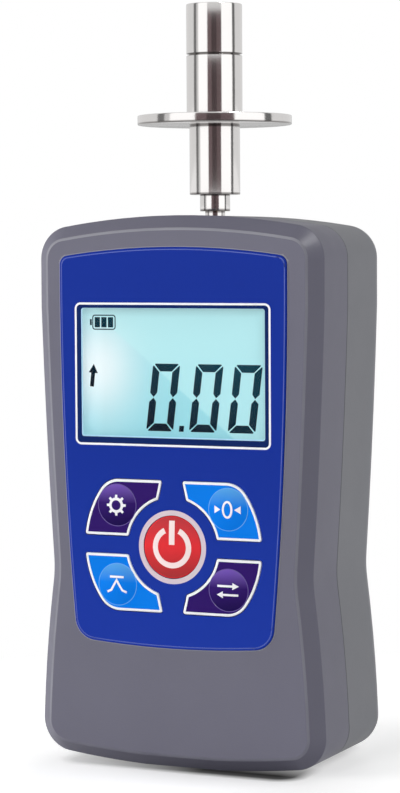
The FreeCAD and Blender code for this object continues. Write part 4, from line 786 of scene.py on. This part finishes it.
def meeting(one, other, near):
    """Where two edges cross, nearest to a point."""
    if one[0] == "circle":
        one, other = other, one
    foot, along = one[1] * one[2], Vector((-one[1].y, one[1].x))
    if other[0] == "line":
        return foot + along * (other[2] - other[1].dot(foot)) / other[1].dot(along)
    reach = leg(other[1], one[2])
    return min((foot + along * reach, foot - along * reach), key=lambda p: (p - near).length)


def touch(edge, centre):
    """The point of an edge nearest to a rounding's centre."""
    kind, first, second = edge
    if kind == "line":
        return centre - first * (first.dot(centre) - second)
    return centre.normalized() * first


def sweep(centre, start, end, count):
    """Points on the short arc from start to end."""
    first = math.atan2(start.y - centre.y, start.x - centre.x)
    turn = (math.atan2(end.y - centre.y, end.x - centre.x) - first + math.pi) % (2 * math.pi) - math.pi
    radius = (start - centre).length
    angles = [first + turn * i / count for i in range(count + 1)]
    return [centre + radius * Vector((math.cos(a), math.sin(a))) for a in angles]


def key_loop(across, up, inset=0.0):
    """A shaped key's outline moved in by an inset, in the quadrant (across, up)."""
    edges = [moved_in(edge, inset) for edge in KEY_EDGES]
    rounds = []
    for i, corner in enumerate(KEY_CORNERS):
        radius = max((SHOULDER if i == 2 else CORNER) - inset, 0.05)
        pair = edges[i - 1], edges[i]
        centre = meeting(*(moved_in(edge, radius) for edge in pair), Vector(corner))
        rounds.append((centre, touch(pair[0], centre), touch(pair[1], centre)))
    loop = []
    for i, (centre, start, end) in enumerate(rounds):
        loop += sweep(centre, start, end, 10)
        if edges[i][0] == "circle":
            loop += sweep(Vector((0, 0)), end, rounds[(i + 1) % 5][1], 28)[1:-1]
    middle = Vector(KEYS_MIDDLE)
    return [(middle.x + across * p.x, middle.y + up * p.y) for p in loop]


print("a key's loop has", len(key_loop(1, 1)), "points")

# %% Borders on the keys
QUADRANTS = {"upper_left": (-1, 1), "upper_right": (1, 1), "lower_left": (-1, -1), "lower_right": (1, -1)}
BORDER = 0.54
KEY_EDGE = 0.2

for name, (across, up) in QUADRANTS.items():
    steps = [(-0.015, 0.24), (0.045, 0.05), (0.11, -0.002), (KEY_EDGE, -0.015), (BORDER, -0.015),
             (BORDER, 0.04), (0.12, 0.24)]
    mesh = rings("key_border", [(key_loop(across, up, i), PANEL_FACE + y) for i, y in steps], 40)
    add_piece("key_border_" + name, mesh, ink_white, "button_" + name)
print("four key borders")

# %% [markdown]
# ## Signs on domes
#
# The keys' words are left off. Their places hold signs that any instrument may
# carry: a toothed wheel for settings, a nought between two pointers for zero,
# a peak under a bar for the greatest reading, and two arrows for changing the
# unit. A sign is drawn as strokes: a strip along a line, wide or pointed, laid
# on the dome point by point so that it follows the curve.

# %% Strokes on a surface
def dome(middle, radius, rise, face):
    """How deep a shallow dome's surface lies at (x, z)."""
    ball = (radius ** 2 + rise ** 2) / (2 * rise)

    def depth(x, z):
        out = (x - middle[0]) ** 2 + (z - middle[1]) ** 2
        return face - rise + ball - math.sqrt(max(ball ** 2 - out, 0))
    return depth


def flat(face):
    return lambda x, z: face


def fine(points, step=0.25):
    """The same line with points no further apart than a step."""
    made = [Vector(points[0])]
    for point in points[1:]:
        run = Vector(point) - made[-1]
        pieces = max(1, math.ceil(run.length / step))
        start = made[-1]
        made += [start + run * (i + 1) / pieces for i in range(pieces)]
    return made


def strokes(name, lines, surface):
    """Strips along lines of (x, z): each line is (points, width at its start, width at its end)."""
    points, faces = [], []
    for line, wide, narrow in lines:
        line = fine(line)
        last = len(line) - 1
        first = len(points)
        for i, at in enumerate(line):
            ahead = (line[min(i + 1, last)] - at).normalized()
            behind = (at - line[max(i - 1, 0)]).normalized()
            run = (ahead + behind).normalized() if i not in (0, last) else ahead + behind
            side = Vector((-run.y, run.x)) * (wide + (narrow - wide) * i / last) / 2
            side /= max(0.5, run.dot(ahead + behind) / 2 if i not in (0, last) else 1)
            for x, z in (at - side, at + side):
                depth = surface(x, z)
                points += [(x, depth - INK, z), (x, depth + INK, z)]
        for i in range(last):
            a, b = first + 4 * i, first + 4 * (i + 1)
            faces += [(a, b, b + 2, a + 2), (a + 1, a + 3, b + 3, b + 1),
                      (a, a + 1, b + 1, b), (a + 2, b + 2, b + 3, a + 3)]
        end = first + 4 * last
        faces += [(first, first + 2, first + 3, first + 1), (end, end + 1, end + 3, end + 2)]
    return mesh_from(name, points, faces)


def bow(middle, radius, start, end, squash=1.0, count=40):
    """Points on an arc from one angle to another, in degrees from straight up, clockwise."""
    turns = [math.radians(start + (end - start) * i / count) for i in range(count + 1)]
    return [(middle[0] + radius * squash * math.sin(a), middle[1] + radius * math.cos(a)) for a in turns]


# %% The four signs
BUBBLE_RISE = 0.5
THIN = 0.42
# A painted highlight round a bubble's rim, in four rings by radius and height over the dome
RIM_RINGS = ((4.20, 0.02), (4.17, -0.022), (4.06, -0.022), (4.03, 0.02))


def wheel(x, z):
    """A toothed wheel."""
    teeth = [[(x + r * math.sin(a), z + r * math.cos(a)) for r in (1.2, 2.05)]
             for a in (math.radians(45 * i) for i in range(8))]
    return ([(bow((x, z), 1.25, 0, 360), 0.55, 0.55)] + [(tooth, 0.62, 0.46) for tooth in teeth])


def nought(x, z):
    """A nought between two pointers."""
    sides = [([(x + side * 2.75, z), (x + side * 1.5, z)], 1.5, 0.04) for side in (-1, 1)]
    return [(bow((x, z), 1.5, 0, 360, 0.6), THIN, THIN)] + sides


def peak(x, z):
    """A peak under a bar."""
    return [([(x - 2.1, z - 1.5), (x - 1.2, z - 1.1), (x, z + 0.85), (x + 1.2, z - 1.1), (x + 2.1, z - 1.5)],
             THIN, THIN), ([(x - 1.5, z + 1.5), (x + 1.5, z + 1.5)], THIN, THIN)]


def exchange(x, z):
    """Two arrows, one each way."""
    lines = []
    for side in (-1, 1):
        level = z + side * 0.85
        lines.append(([(x - side * 2.2, level), (x + side * 1.1, level)], THIN, THIN))
        lines.append(([(x + side * 1.0, level), (x + side * 2.3, level)], 1.35, 0.04))
    return lines


SIGNS = {"upper_left": wheel, "upper_right": nought, "lower_left": peak, "lower_right": exchange}
RIMS = {"upper_left": rim_highlight_purple, "lower_right": rim_highlight_purple,
        "upper_right": rim_highlight_azure, "lower_left": rim_highlight_azure}
for name, (across, up) in QUADRANTS.items():
    middle = (KEYS_MIDDLE[0] + across * BUBBLE_X, KEYS_MIDDLE[1] + up * BUBBLE_Z)
    surface = dome(middle, BUBBLE_RADIUS, BUBBLE_RISE, PANEL_FACE)
    sign = strokes("key_sign", SIGNS[name](*middle), surface)
    add_piece("key_sign_" + name, sign, ink_signs, "button_" + name)
    loops = [(circle(radius, middle), surface(middle[0] + min(radius, 4.149), middle[1]) + lift)
             for radius, lift in RIM_RINGS]
    # A painted highlight round each dome's rim
    add_piece("key_rim_" + name, rings("key_rim", loops), RIMS[name], "button_" + name)
print("signs and rims on four keys")

# %% The power key's sign and halo
POWER_RISE = 0.3
crown = dome(KEYS_MIDDLE, POWER_RADIUS, POWER_RISE, PANEL_FACE)
px, pz = KEYS_MIDDLE
power_lines = [(bow(KEYS_MIDDLE, 3.55, 25, 335, count=80), 1.1, 1.1),
               ([(px, pz + 0.5), (px, pz + 5.2)], 1.2, 1.2)]
add_piece("power_sign", strokes("power_sign", power_lines, crown), ink_power, "button_power")
border("power_halo", circle(7.2, KEYS_MIDDLE, 128), circle(6.2, KEYS_MIDDLE, 128),
       PANEL_FACE, ink_halo, "housing")
print("power sign and halo")

# %% [markdown]
# ## Marks on the cells
#
# Behind the battery door each cell shows which end is plus. The marks are the
# same strokes, laid on the sleeve's round back instead of a dome.

# %% Plus and minus on the cells
CELL_RADIUS = (cell_high.x - cell_low.x) / 2 / MM
CELL_BACK = cell_high.y / MM
MARK_AWAY, MARK_HALF, MARK_WIDE = 17.5, 1.5, 0.5


def sleeve_back(axis):
    """How deep the back of a sleeve lies at (x, z)."""
    return lambda x, z: CELL_BACK - CELL_RADIUS + math.sqrt(max(CELL_RADIUS ** 2 - (x - axis) ** 2, 0))


for cell, way in (("battery_left", 1), ("battery_middle", -1), ("battery_right", 1)):
    low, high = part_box(cell)
    axis = (low.x + high.x) / 2 / MM
    plus, minus = CELL_MIDDLE + way * MARK_AWAY, CELL_MIDDLE - way * MARK_AWAY
    ends = [((axis - MARK_HALF, plus), (axis + MARK_HALF, plus)),
            ((axis, plus - MARK_HALF), (axis, plus + MARK_HALF)),
            ((axis - 1.3, minus), (axis + 1.3, minus))]
    mesh = strokes("marks", [(pair, MARK_WIDE, MARK_WIDE) for pair in ends], sleeve_back(axis))
    add_piece("marks_on_" + cell, mesh, ink_signs, "housing")
print("marks on three cells of radius", round(CELL_RADIUS, 2), "mm")

# %% [markdown]
# ## Figures on the display
#
# Seven bars make any figure, and a nought leaves out the middle one. Each bar
# is a flat outline with mitred ends, so that thin gaps run between the bars,
# and the whole figure leans to the right. The bars lie on the display's glass.

# %% Bars, arrow and battery mark
GLASS_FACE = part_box("display_glass")[0].y / MM
FIGURE_WIDE, FIGURE_TALL, BAR, GAP, LEAN = 5.8, 13.15, 1.5, 0.14, 0.125
FIGURE_FOOT = 66.0
FIGURE_LEFTS = (-6.7, 2.5, 10.7)


def nought_bars(left):
    """The six bars of a nought, leaning."""
    wide, tall, cut = FIGURE_WIDE, FIGURE_TALL, 0.35
    mid = tall / 2
    top = [(GAP + cut, tall), (wide - GAP - cut, tall), (wide - GAP * 1.4 - cut / 2, tall - cut / 2),
           (wide - BAR - GAP, tall - BAR), (BAR + GAP, tall - BAR), (GAP * 1.4 + cut / 2, tall - cut / 2)]
    side = [(0, tall - GAP - cut), (cut / 2, tall - GAP * 1.4 - cut / 2), (BAR, tall - BAR - GAP),
            (BAR, mid + BAR * 0.55 + GAP / 2), (BAR * 0.55, mid + GAP / 2), (0, mid + BAR * 0.55 + GAP / 2)]
    shapes = []
    for low in (False, True):
        for shape in (top, side, [(wide - x, z) for x, z in side]):
            shapes.append([(x, tall - z) if low else (x, z) for x, z in shape])
    return [leaning(shape, left) for shape in shapes]


def leaning(shape, left):
    return [(left + x + z * LEAN, FIGURE_FOOT + z) for x, z in shape]


figures = [bar for left in FIGURE_LEFTS for bar in nought_bars(left)]
figures.append(leaning([(0, 0), (1.0, 0), (1.0, 1.15), (0, 1.15)], 0.35))
add_piece("display_figures", plates("display_figures", figures, GLASS_FACE - INK, GLASS_FACE + INK),
          ink_figures, "housing")

arrow_at = Vector((-18.05, 78.85))
arrow = [([arrow_at, arrow_at - Vector((0.13, 1.7))], 0.05, 2.0),
         ([arrow_at - Vector((0.13, 1.5)), arrow_at - Vector((0.45, 4.4))], 0.85, 0.85)]
box_line = rounded_box((-15.75, 87.1), 4.9, 2.75, 0.5)
battery_marks = [(box_line + box_line[:1], 0.22, 0.22),
                 ([(-18.62, 86.5), (-18.62, 87.7)], 0.4, 0.4)]
battery_marks += [([(x, 86.1), (x, 88.1)], 1.15, 1.15) for x in (-17.2, -15.75, -14.3)]
add_piece("display_arrow", strokes("display_arrow", arrow, flat(GLASS_FACE)),
          ink_figures, "housing")
add_piece("display_battery_mark", strokes("display_battery_mark", battery_marks, flat(GLASS_FACE)),
          ink_figures, "housing")
print(len(figures), "plates in the figures")

# %% [markdown]
# ## Geometry Nodes: turned pieces
#
# Everything of the probe is turned: a profile spun round an axis. The tree
# takes the profile as a row of points and lays a grid with one column for each
# step of the turn. It reads the profile's point for each row, swings it round
# the axis by the column's angle, and merges the seam and the points that fall
# on the axis. Real turned edges are broken with a file, so every profile corner
# gets a tiny round, which draws the bright line along an edge.

# %% A tree that turns a profile
def geometry_tree(name, **inputs):
    """A new tree with named inputs of a kind and a starting value, and their sockets."""
    tree = bpy.data.node_groups.new(name, "GeometryNodeTree")
    tree.interface.new_socket("Geometry", in_out="OUTPUT", socket_type="NodeSocketGeometry")
    tree.interface.new_socket("Geometry", in_out="INPUT", socket_type="NodeSocketGeometry")
    for label, (kind, value) in inputs.items():
        made = tree.interface.new_socket(
            label.replace("_", " "), in_out="INPUT", socket_type="NodeSocket" + kind)
        made.default_value = value
    return tree, node(tree, "NodeGroupInput").outputs


def end_tree(tree, geometry, material):
    """Real geometry with its material, as the tree's result."""
    real = node(tree, "GeometryNodeRealizeInstances", {"Geometry": geometry}).outputs[0]
    painted = node(tree, "GeometryNodeSetMaterial", {"Geometry": real, "Material": material})
    node(tree, "NodeGroupOutput", {"Geometry": painted.outputs[0]})


def baked(name, base, tree, values, smooth=35):
    """The plain mesh that a tree makes of a base mesh, its inputs set by their sockets' identifiers."""
    carrier = put_in_scene(name + "_carrier", base)
    modifier = carrier.modifiers.new("tree", "NODES")
    modifier.node_group = tree
    for item in tree.interface.items_tree:
        if item.item_type == "SOCKET" and item.in_out == "INPUT" and item.name in values:
            modifier[item.identifier] = values[item.name]
    graph = bpy.context.evaluated_depsgraph_get()
    mesh = bpy.data.meshes.new_from_object(carrier.evaluated_get(graph))
    carrier.modifiers.clear()
    bpy.data.objects.remove(carrier)
    mesh.name = name
    shape = bmesh.new()
    shape.from_mesh(mesh)
    bmesh.ops.remove_doubles(shape, verts=shape.verts, dist=1e-6)
    bmesh.ops.dissolve_degenerate(shape, edges=shape.edges, dist=1e-7)
    bmesh.ops.recalc_face_normals(shape, faces=shape.faces)
    shape.to_mesh(mesh)
    shape.free()
    mesh.shade_smooth()
    mesh.set_sharp_from_angle(angle=math.radians(smooth))
    return mesh


def turning_tree(material):
    tree, given = geometry_tree("turned_" + material.name, Steps=("Int", 96),
                                Axis_X=("Float", 0.0), Axis_Y=("Float", 0.0))
    size = node(tree, "GeometryNodeAttributeDomainSize", {"Geometry": given["Geometry"]})
    rows, steps = Link(size.outputs[0]), Link(given["Steps"])
    lines = rows + 1.0
    grid = node(tree, "GeometryNodeMeshGrid", {"Vertices X": steps + 1.0, "Vertices Y": lines})
    index = Link(node(tree, "GeometryNodeInputIndex").outputs[0])
    column = math_node("FLOOR", (index + 0.5) / lines)
    row = math_node("MODULO", index - column * lines, rows)
    sample = Link(node(tree, "GeometryNodeSampleIndex", {
        "Geometry": given["Geometry"], "Index": row,
        "Value": node(tree, "GeometryNodeInputPosition").outputs[0]}, data_type="FLOAT_VECTOR").outputs[0])
    out, _, up = split(sample)
    turn = column / steps * (2 * math.pi)
    place = node(tree, "ShaderNodeCombineXYZ", {
        "X": math_node("COSINE", turn) * out + given["Axis X"],
        "Y": math_node("SINE", turn) * out + given["Axis Y"], "Z": up})
    spun = node(tree, "GeometryNodeSetPosition", {
        "Geometry": grid.outputs[0], "Position": place.outputs[0]}).outputs[0]
    merged = node(tree, "GeometryNodeMergeByDistance", {"Geometry": spun, "Distance": 1e-6}).outputs[0]
    end_tree(tree, merged, material)
    return tree


def softened(profile):
    """A closed profile of (radius, z, round) in millimetres, its corners rounded."""
    made = []
    count = len(profile)
    for i, (r, z, soft) in enumerate(profile):
        here = Vector((r, z))
        if not soft:
            made.append(here)
            continue
        before, after = Vector(profile[i - 1][:2]), Vector(profile[(i + 1) % count][:2])
        start = here + (before - here).normalized() * soft
        end = here + (after - here).normalized() * soft
        for k in range(5):
            t = k / 4
            made.append(start * (1 - t) ** 2 + here * 2 * t * (1 - t) + end * t ** 2)
    return made


def profile_mesh(name, profile):
    mesh = bpy.data.meshes.new(name + "_profile")
    points = [(p.x * MM, 0, p.y * MM) for p in softened(profile)]
    mesh.from_pydata(points, [(i, i + 1) for i in range(len(points) - 1)], [])
    return mesh


# %% The probe's turned pieces
PROBE_Y = 2.25
BORE = 2.05
turned = turning_tree(turned_steel)
COLLAR, SLEEVE, FLANGE, TIP, TOP = 108.84, 112.13, 125.96, 127.81, 149.81
RING = TOP - 10
SHAFT_TOP = TIP + 10.24
SOFT = 0.1
PROBE_PROFILES = {
    "lock_collar": [(BORE, COLLAR, 0), (3.0, COLLAR, SOFT), (3.0, SLEEVE, SOFT), (BORE, SLEEVE, 0)],
    "probe_sleeve": [(BORE, SLEEVE, 0), (5.03, SLEEVE, SOFT), (5.03, FLANGE, 0), (BORE, FLANGE, 0)],
    "depth_flange": [(BORE, FLANGE, 0), (15.35, FLANGE, 0.22), (15.35, TIP, 0.22), (BORE, TIP, 0)],
    "probe_tip": [
        (BORE, TIP, 0), (5.55, TIP, 0.05), (5.55, RING - 0.2, 0.02), (5.1, RING - 0.14, 0),
        (5.1, RING + 0.14, 0), (5.55, RING + 0.2, 0.02), (5.55, TOP, 0.2), (0, TOP, 0),
        (0, SHAFT_TOP, 0), (BORE, SHAFT_TOP, 0)],
}
for name, profile in PROBE_PROFILES.items():
    mesh = baked("turned_" + name, profile_mesh(name, profile), turned,
                 {"Steps": 144, "Axis X": 0.0, "Axis Y": PROBE_Y * MM}, 40)
    piece = add_piece("turned_" + name, mesh, turned_steel, "probe")
    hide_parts(name)
    print(name, len(mesh.polygons), "faces")

# %% [markdown]
# ## Geometry Nodes: case screws
#
# Four equal screws hold the shells together from behind. One screw is built as
# rings: a head with a broken edge and a shank. Its cross recess is a hole in
# the head's flat face, with walls that lean in to a small floor. The tree lays
# a grid of two by two points, puts the screw on each and turns it by a random
# angle, because no two screws stop at the same angle.

# %% One screw
SCREW_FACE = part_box("case_screws")[1].y / MM
SCREW_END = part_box("case_screws")[0].y / MM
HEAD_RADIUS, HEAD_THICK, SHANK_RADIUS = 2.4, 2.0, 1.25
SLOT_LONG, SLOT_HALF, SLOT_DEEP = 1.45, 0.3, 0.9


def cross(scale):
    """The recess's outline: a cross of twelve corners."""
    quarter = [(SLOT_LONG * scale, SLOT_HALF * scale), (SLOT_HALF * scale, SLOT_HALF * scale),
               (SLOT_HALF * scale, SLOT_LONG * scale)]
    loop = []
    for turn in range(4):
        for x, z in quarter:
            for _ in range(turn):
                x, z = -z, x
            loop.append((x, z))
    return loop


def screw_mesh():
    """A screw with its axis along Y, its face towards +Y."""
    points, faces = [], []

    def loop(outline, y):
        first = len(points)
        points.extend((x, y, z) for x, z in outline)
        return list(range(first, len(points)))

    def join(one, other):
        for i in range(len(one)):
            j = (i + 1) % len(one)
            faces.append((one[i], one[j], other[j], other[i]))

    round_ = [loop(circle(r, (0, 0), 48), y) for r, y in (
        (HEAD_RADIUS - 0.3, SCREW_FACE), (HEAD_RADIUS - 0.09, SCREW_FACE - 0.06),
        (HEAD_RADIUS, SCREW_FACE - 0.25), (HEAD_RADIUS, SCREW_FACE - HEAD_THICK),
        (SHANK_RADIUS, SCREW_FACE - HEAD_THICK), (SHANK_RADIUS, SCREW_END + 0.8), (0.5, SCREW_END))]
    for one, other in zip(round_, round_[1:]):
        join(one, other)
    faces.append(round_[-1])
    recess = [loop(cross(1.0), SCREW_FACE), loop(cross(0.55), SCREW_FACE - SLOT_DEEP)]
    join(*recess)
    faces.append(recess[1])
    rim, hole = round_[0], recess[0]
    flat_points = [[Vector((points[i][0], points[i][2], 0)) for i in ids] for ids in (rim, hole)]
    for tri in tessellate_polygon(flat_points):
        faces.append([(rim + hole)[i] for i in tri])
    return mesh_from("case_screw", points, faces)


print("screw from", round(SCREW_END, 2), "to", round(SCREW_FACE, 2), "mm")

# %% Four screws on a grid
def screw_tree(material):
    tree, given = geometry_tree("case_screws", Wide=("Float", 0.04), Tall=("Float", 0.08),
                                Middle_Z=("Float", 0.05), Seed=("Int", 4))
    grid = node(tree, "GeometryNodeMeshGrid", {
        "Size X": given["Wide"], "Size Y": given["Tall"], "Vertices X": 2, "Vertices Y": 2}).outputs[0]
    lift = node(tree, "ShaderNodeCombineXYZ", {"Z": given["Middle Z"]}).outputs[0]
    stood = node(tree, "GeometryNodeTransform", {
        "Geometry": grid, "Rotation": (math.radians(90), 0, 0), "Translation": lift}).outputs[0]
    angle = node(tree, "FunctionNodeRandomValue", {
        "Min": -0.7, "Max": 0.7, "Seed": given["Seed"]}, data_type="FLOAT")
    turn = node(tree, "ShaderNodeCombineXYZ", {"Y": angle.outputs[1]}).outputs[0]
    laid = node(tree, "GeometryNodeInstanceOnPoints", {
        "Points": stood, "Instance": given["Geometry"], "Rotation": turn}).outputs[0]
    end_tree(tree, laid, material)
    return tree


screw_box = [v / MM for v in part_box("case_screws")]
screws_wide = (screw_box[1].x - screw_box[0].x - 2 * HEAD_RADIUS) * MM
screws_tall = (screw_box[1].z - screw_box[0].z - 2 * HEAD_RADIUS) * MM
mesh = baked("case_screws_crossed", screw_mesh(), screw_tree(plain_steel), {
    "Wide": screws_wide, "Tall": screws_tall, "Middle Z": (screw_box[0].z + screw_box[1].z) / 2 * MM,
    "Seed": 4}, 30)
screws = add_piece("case_screws_crossed", mesh, plain_steel, "housing")
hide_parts("case_screws")
print("screws", round(screws_wide / MM, 1), "by", round(screws_tall / MM, 1), "mm apart,",
      len(mesh.polygons), "faces")

# %% [markdown]
# ## The studio
#
# A pale floor and backdrop, soft lamps at both sides with a weak fill in front
# and one behind, and dark and light cards that only reflections can see: they
# draw the bands on the steel. The floor is brighter than paper could be, which
# would wash out the shadow, so its paint darkens near the case's footprint.

# %% Floor, world and lamps
floor_mesh = bpy.data.meshes.new("floor")
floor_mesh.from_pydata([(-6, -6, 0), (6, -6, 0), (6, 6, 0), (-6, 6, 0)], [], [(0, 1, 2, 3)])
floor = put_in_scene("floor", floor_mesh)
floor.location.z = cad_low.z - 0.02 * MM
floor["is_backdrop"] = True


def seen_by_eye(path):
    """1 for rays that see the background directly or through glass, with no lighting bounce."""
    camera_ray, glass_ray, bounces = (Link(path.outputs[name]) for name in (
        "Is Camera Ray", "Is Transmission Ray", "Diffuse Depth"))
    return math_node("MAXIMUM", camera_ray, glass_ray * math_node("LESS_THAN", bounces, 0.5))


def glowing(tree, level, tint=(1, 1, 1), kind="ShaderNodeEmission"):
    return node(tree, kind, {"Color": colour(*tint), "Strength": level})


# Half the case's footprint on the floor, in millimetres
FOOT_X, FOOT_Y = 20.5, 14.5


def floor_paint():
    made, tree, shader = finish("floor_paper")
    tree.nodes.remove(shader)
    x, y, _ = in_millimetres(tree)
    # How far a place on the floor lies from the footprint
    out_x = math_node("MAXIMUM", abs(x) - FOOT_X, 0.0)
    out_y = math_node("MAXIMUM", abs(y) - FOOT_Y, 0.0)
    gap = math_node("SQRT", out_x * out_x + out_y * out_y)
    # The shadow is deepest under the front edge, right of the middle, and wide and faint at the right
    front = ramp(y * -0.02, (0.1, 0.35), (0.3, 1.0))
    toward_right = ramp(x * 0.01 + 0.5, (0.2, 0.25), (0.55, 1.0))
    close = ramp(gap / 20.0, (0.0, 1.0), (0.16, 0.94), (0.32, 0.24), (0.9, 0.0))
    right = ramp(x * 0.01, (0.1, 0.0), (0.3, 1.0))
    broad = ramp(gap / 44.0, (0.0, 0.2), (1.0, 0.0))
    open_share = 1.0 - math_node("MAXIMUM", front * toward_right * close, right * broad)
    paper = blend(noise(places(tree), 30, 2), colour(0.71, 0.71, 0.71), colour(0.73, 0.73, 0.73))
    plain = node(tree, "ShaderNodeBsdfDiffuse", {"Color": blend(open_share, colour(0.03, 0.03, 0.03), paper)})
    lift = glowing(tree, open_share * 0.66)
    lit = node(tree, "ShaderNodeAddShader", {0: plain.outputs[0], 1: lift.outputs[0]})
    away = Link(node(tree, "ShaderNodeVectorMath", {0: texture_place(tree)},
                     operation="LENGTH").outputs["Value"])
    seen = mix_shaders(ramp(away * 2.0, (0.09, 0.0), (0.26, 1.0)), lit, glowing(tree, 1.0))
    path = node(tree, "ShaderNodeLightPath")
    eye = math_node("MAXIMUM", Link(path.outputs["Is Glossy Ray"]), seen_by_eye(path))
    show(tree, mix_shaders(eye, plain, seen))
    return made


floor_mesh.materials.append(floor_paint())

world = bpy.data.worlds.new("studio")
world.use_nodes = True
bpy.context.scene.world = world
sky = world.node_tree
path = node(sky, "ShaderNodeLightPath")
height = split(texture_place(sky, "Generated"))[2]
ambient = node(sky, "ShaderNodeBackground", {
    "Color": ramp(height, (0.0, 0.38), (0.5, 0.20), (1.0, 0.06)), "Strength": 1.0})
shiny = glowing(sky, 0.8, kind="ShaderNodeBackground")
backdrop = glowing(sky, 1.0, kind="ShaderNodeBackground")
unseen = mix_shaders(Link(path.outputs["Is Glossy Ray"]), ambient, shiny)
show(sky, mix_shaders(seen_by_eye(path), unseen, backdrop), "World Output")


LAMPS_AIM = 0.07


def lamp(name, azimuth, elevation, away, wide, tall, level):
    """A soft box that doesn't show, not even in steel. White paper facing it shines at its level."""
    data = bpy.data.lights.new(name, "AREA")
    data.shape, data.size, data.size_y = "RECTANGLE", wide, tall
    data.energy = level * math.pi * away ** 2 * math.pi
    made = put_in_scene(name, data)
    back = direction(math.radians(azimuth), math.radians(elevation))
    made.matrix_world = (Matrix.Translation(Vector((0, 0, LAMPS_AIM)) + back * away)
                         @ (-back).to_track_quat("-Z", "Y").to_matrix().to_4x4())
    made.visible_glossy = made.visible_camera = made.visible_transmission = False


lamp("left_box", -50, 12, 1.1, 0.7, 1.0, 0.86)
lamp("right_box", 112, 14, 1.1, 0.7, 1.0, 0.50)
lamp("front_fill", -8, 8, 1.4, 0.5, 0.7, 0.30)
lamp("back_fill", 186, 12, 1.3, 0.7, 0.9, 0.55)


def card(name, start, end, low, high, away, level, tint):
    """A curved card round the object between two azimuths, seen by gloss alone."""
    steps = 24
    points = []
    for i in range(steps + 1):
        a = math.radians(start + (end - start) * i / steps)
        for z in (low, high):
            points.append((away * math.sin(a), -away * math.cos(a), z))
    faces = [(2 * i, 2 * i + 2, 2 * i + 3, 2 * i + 1) for i in range(steps)]
    mesh = bpy.data.meshes.new(name)
    mesh.from_pydata(points, [], faces)
    made, tree, shader = finish(name + "_paint")
    tree.nodes.remove(shader)
    show(tree, glowing(tree, level, tint))
    mesh.materials.append(made)
    piece = put_in_scene(name, mesh)
    for kind in ("camera", "diffuse", "transmission", "volume_scatter", "shadow"):
        setattr(piece, "visible_" + kind, False)
    piece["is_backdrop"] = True


VIEW = math.degrees(AZIMUTH)
PLAIN, WARM = (1, 1, 1), (1.0, 0.72, 0.75)
CARDS = [  # degrees from the camera's own direction, level, tint and greatest height
    ("front_left", -29, -12, 0.17, WARM, 0.32), ("front_core", -12, 9, 0.08, WARM, 0.32),
    ("front_right", 9, 29, 0.15, WARM, 0.32), ("right_white", 29, 79, 1.3, PLAIN, 0.9),
    ("right_gap", 79, 93, 0.16, PLAIN, 0.9), ("left_fade", -80, -70, 0.7, PLAIN, 0.9),
    ("left_white", -70, -29, 1.3, PLAIN, 0.9), ("left_gap", -94, -80, 0.2, PLAIN, 0.9),
    ("rear", 164, 196, 0.62, PLAIN, 0.9),
]
for name, start, end, level, tint, high in CARDS:
    card("card_" + name, VIEW + start, VIEW + end, -0.5, high, 0.9, level, tint)
card("card_above", 52, 72, 0.75, 1.0, 0.6, 90.0, PLAIN)
print("studio set")

# %% [markdown]
# ## The dressed part's box
#
# The box of the dressed part is worked out, to stand beside the CAD box.

# %% Sizes
low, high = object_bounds()
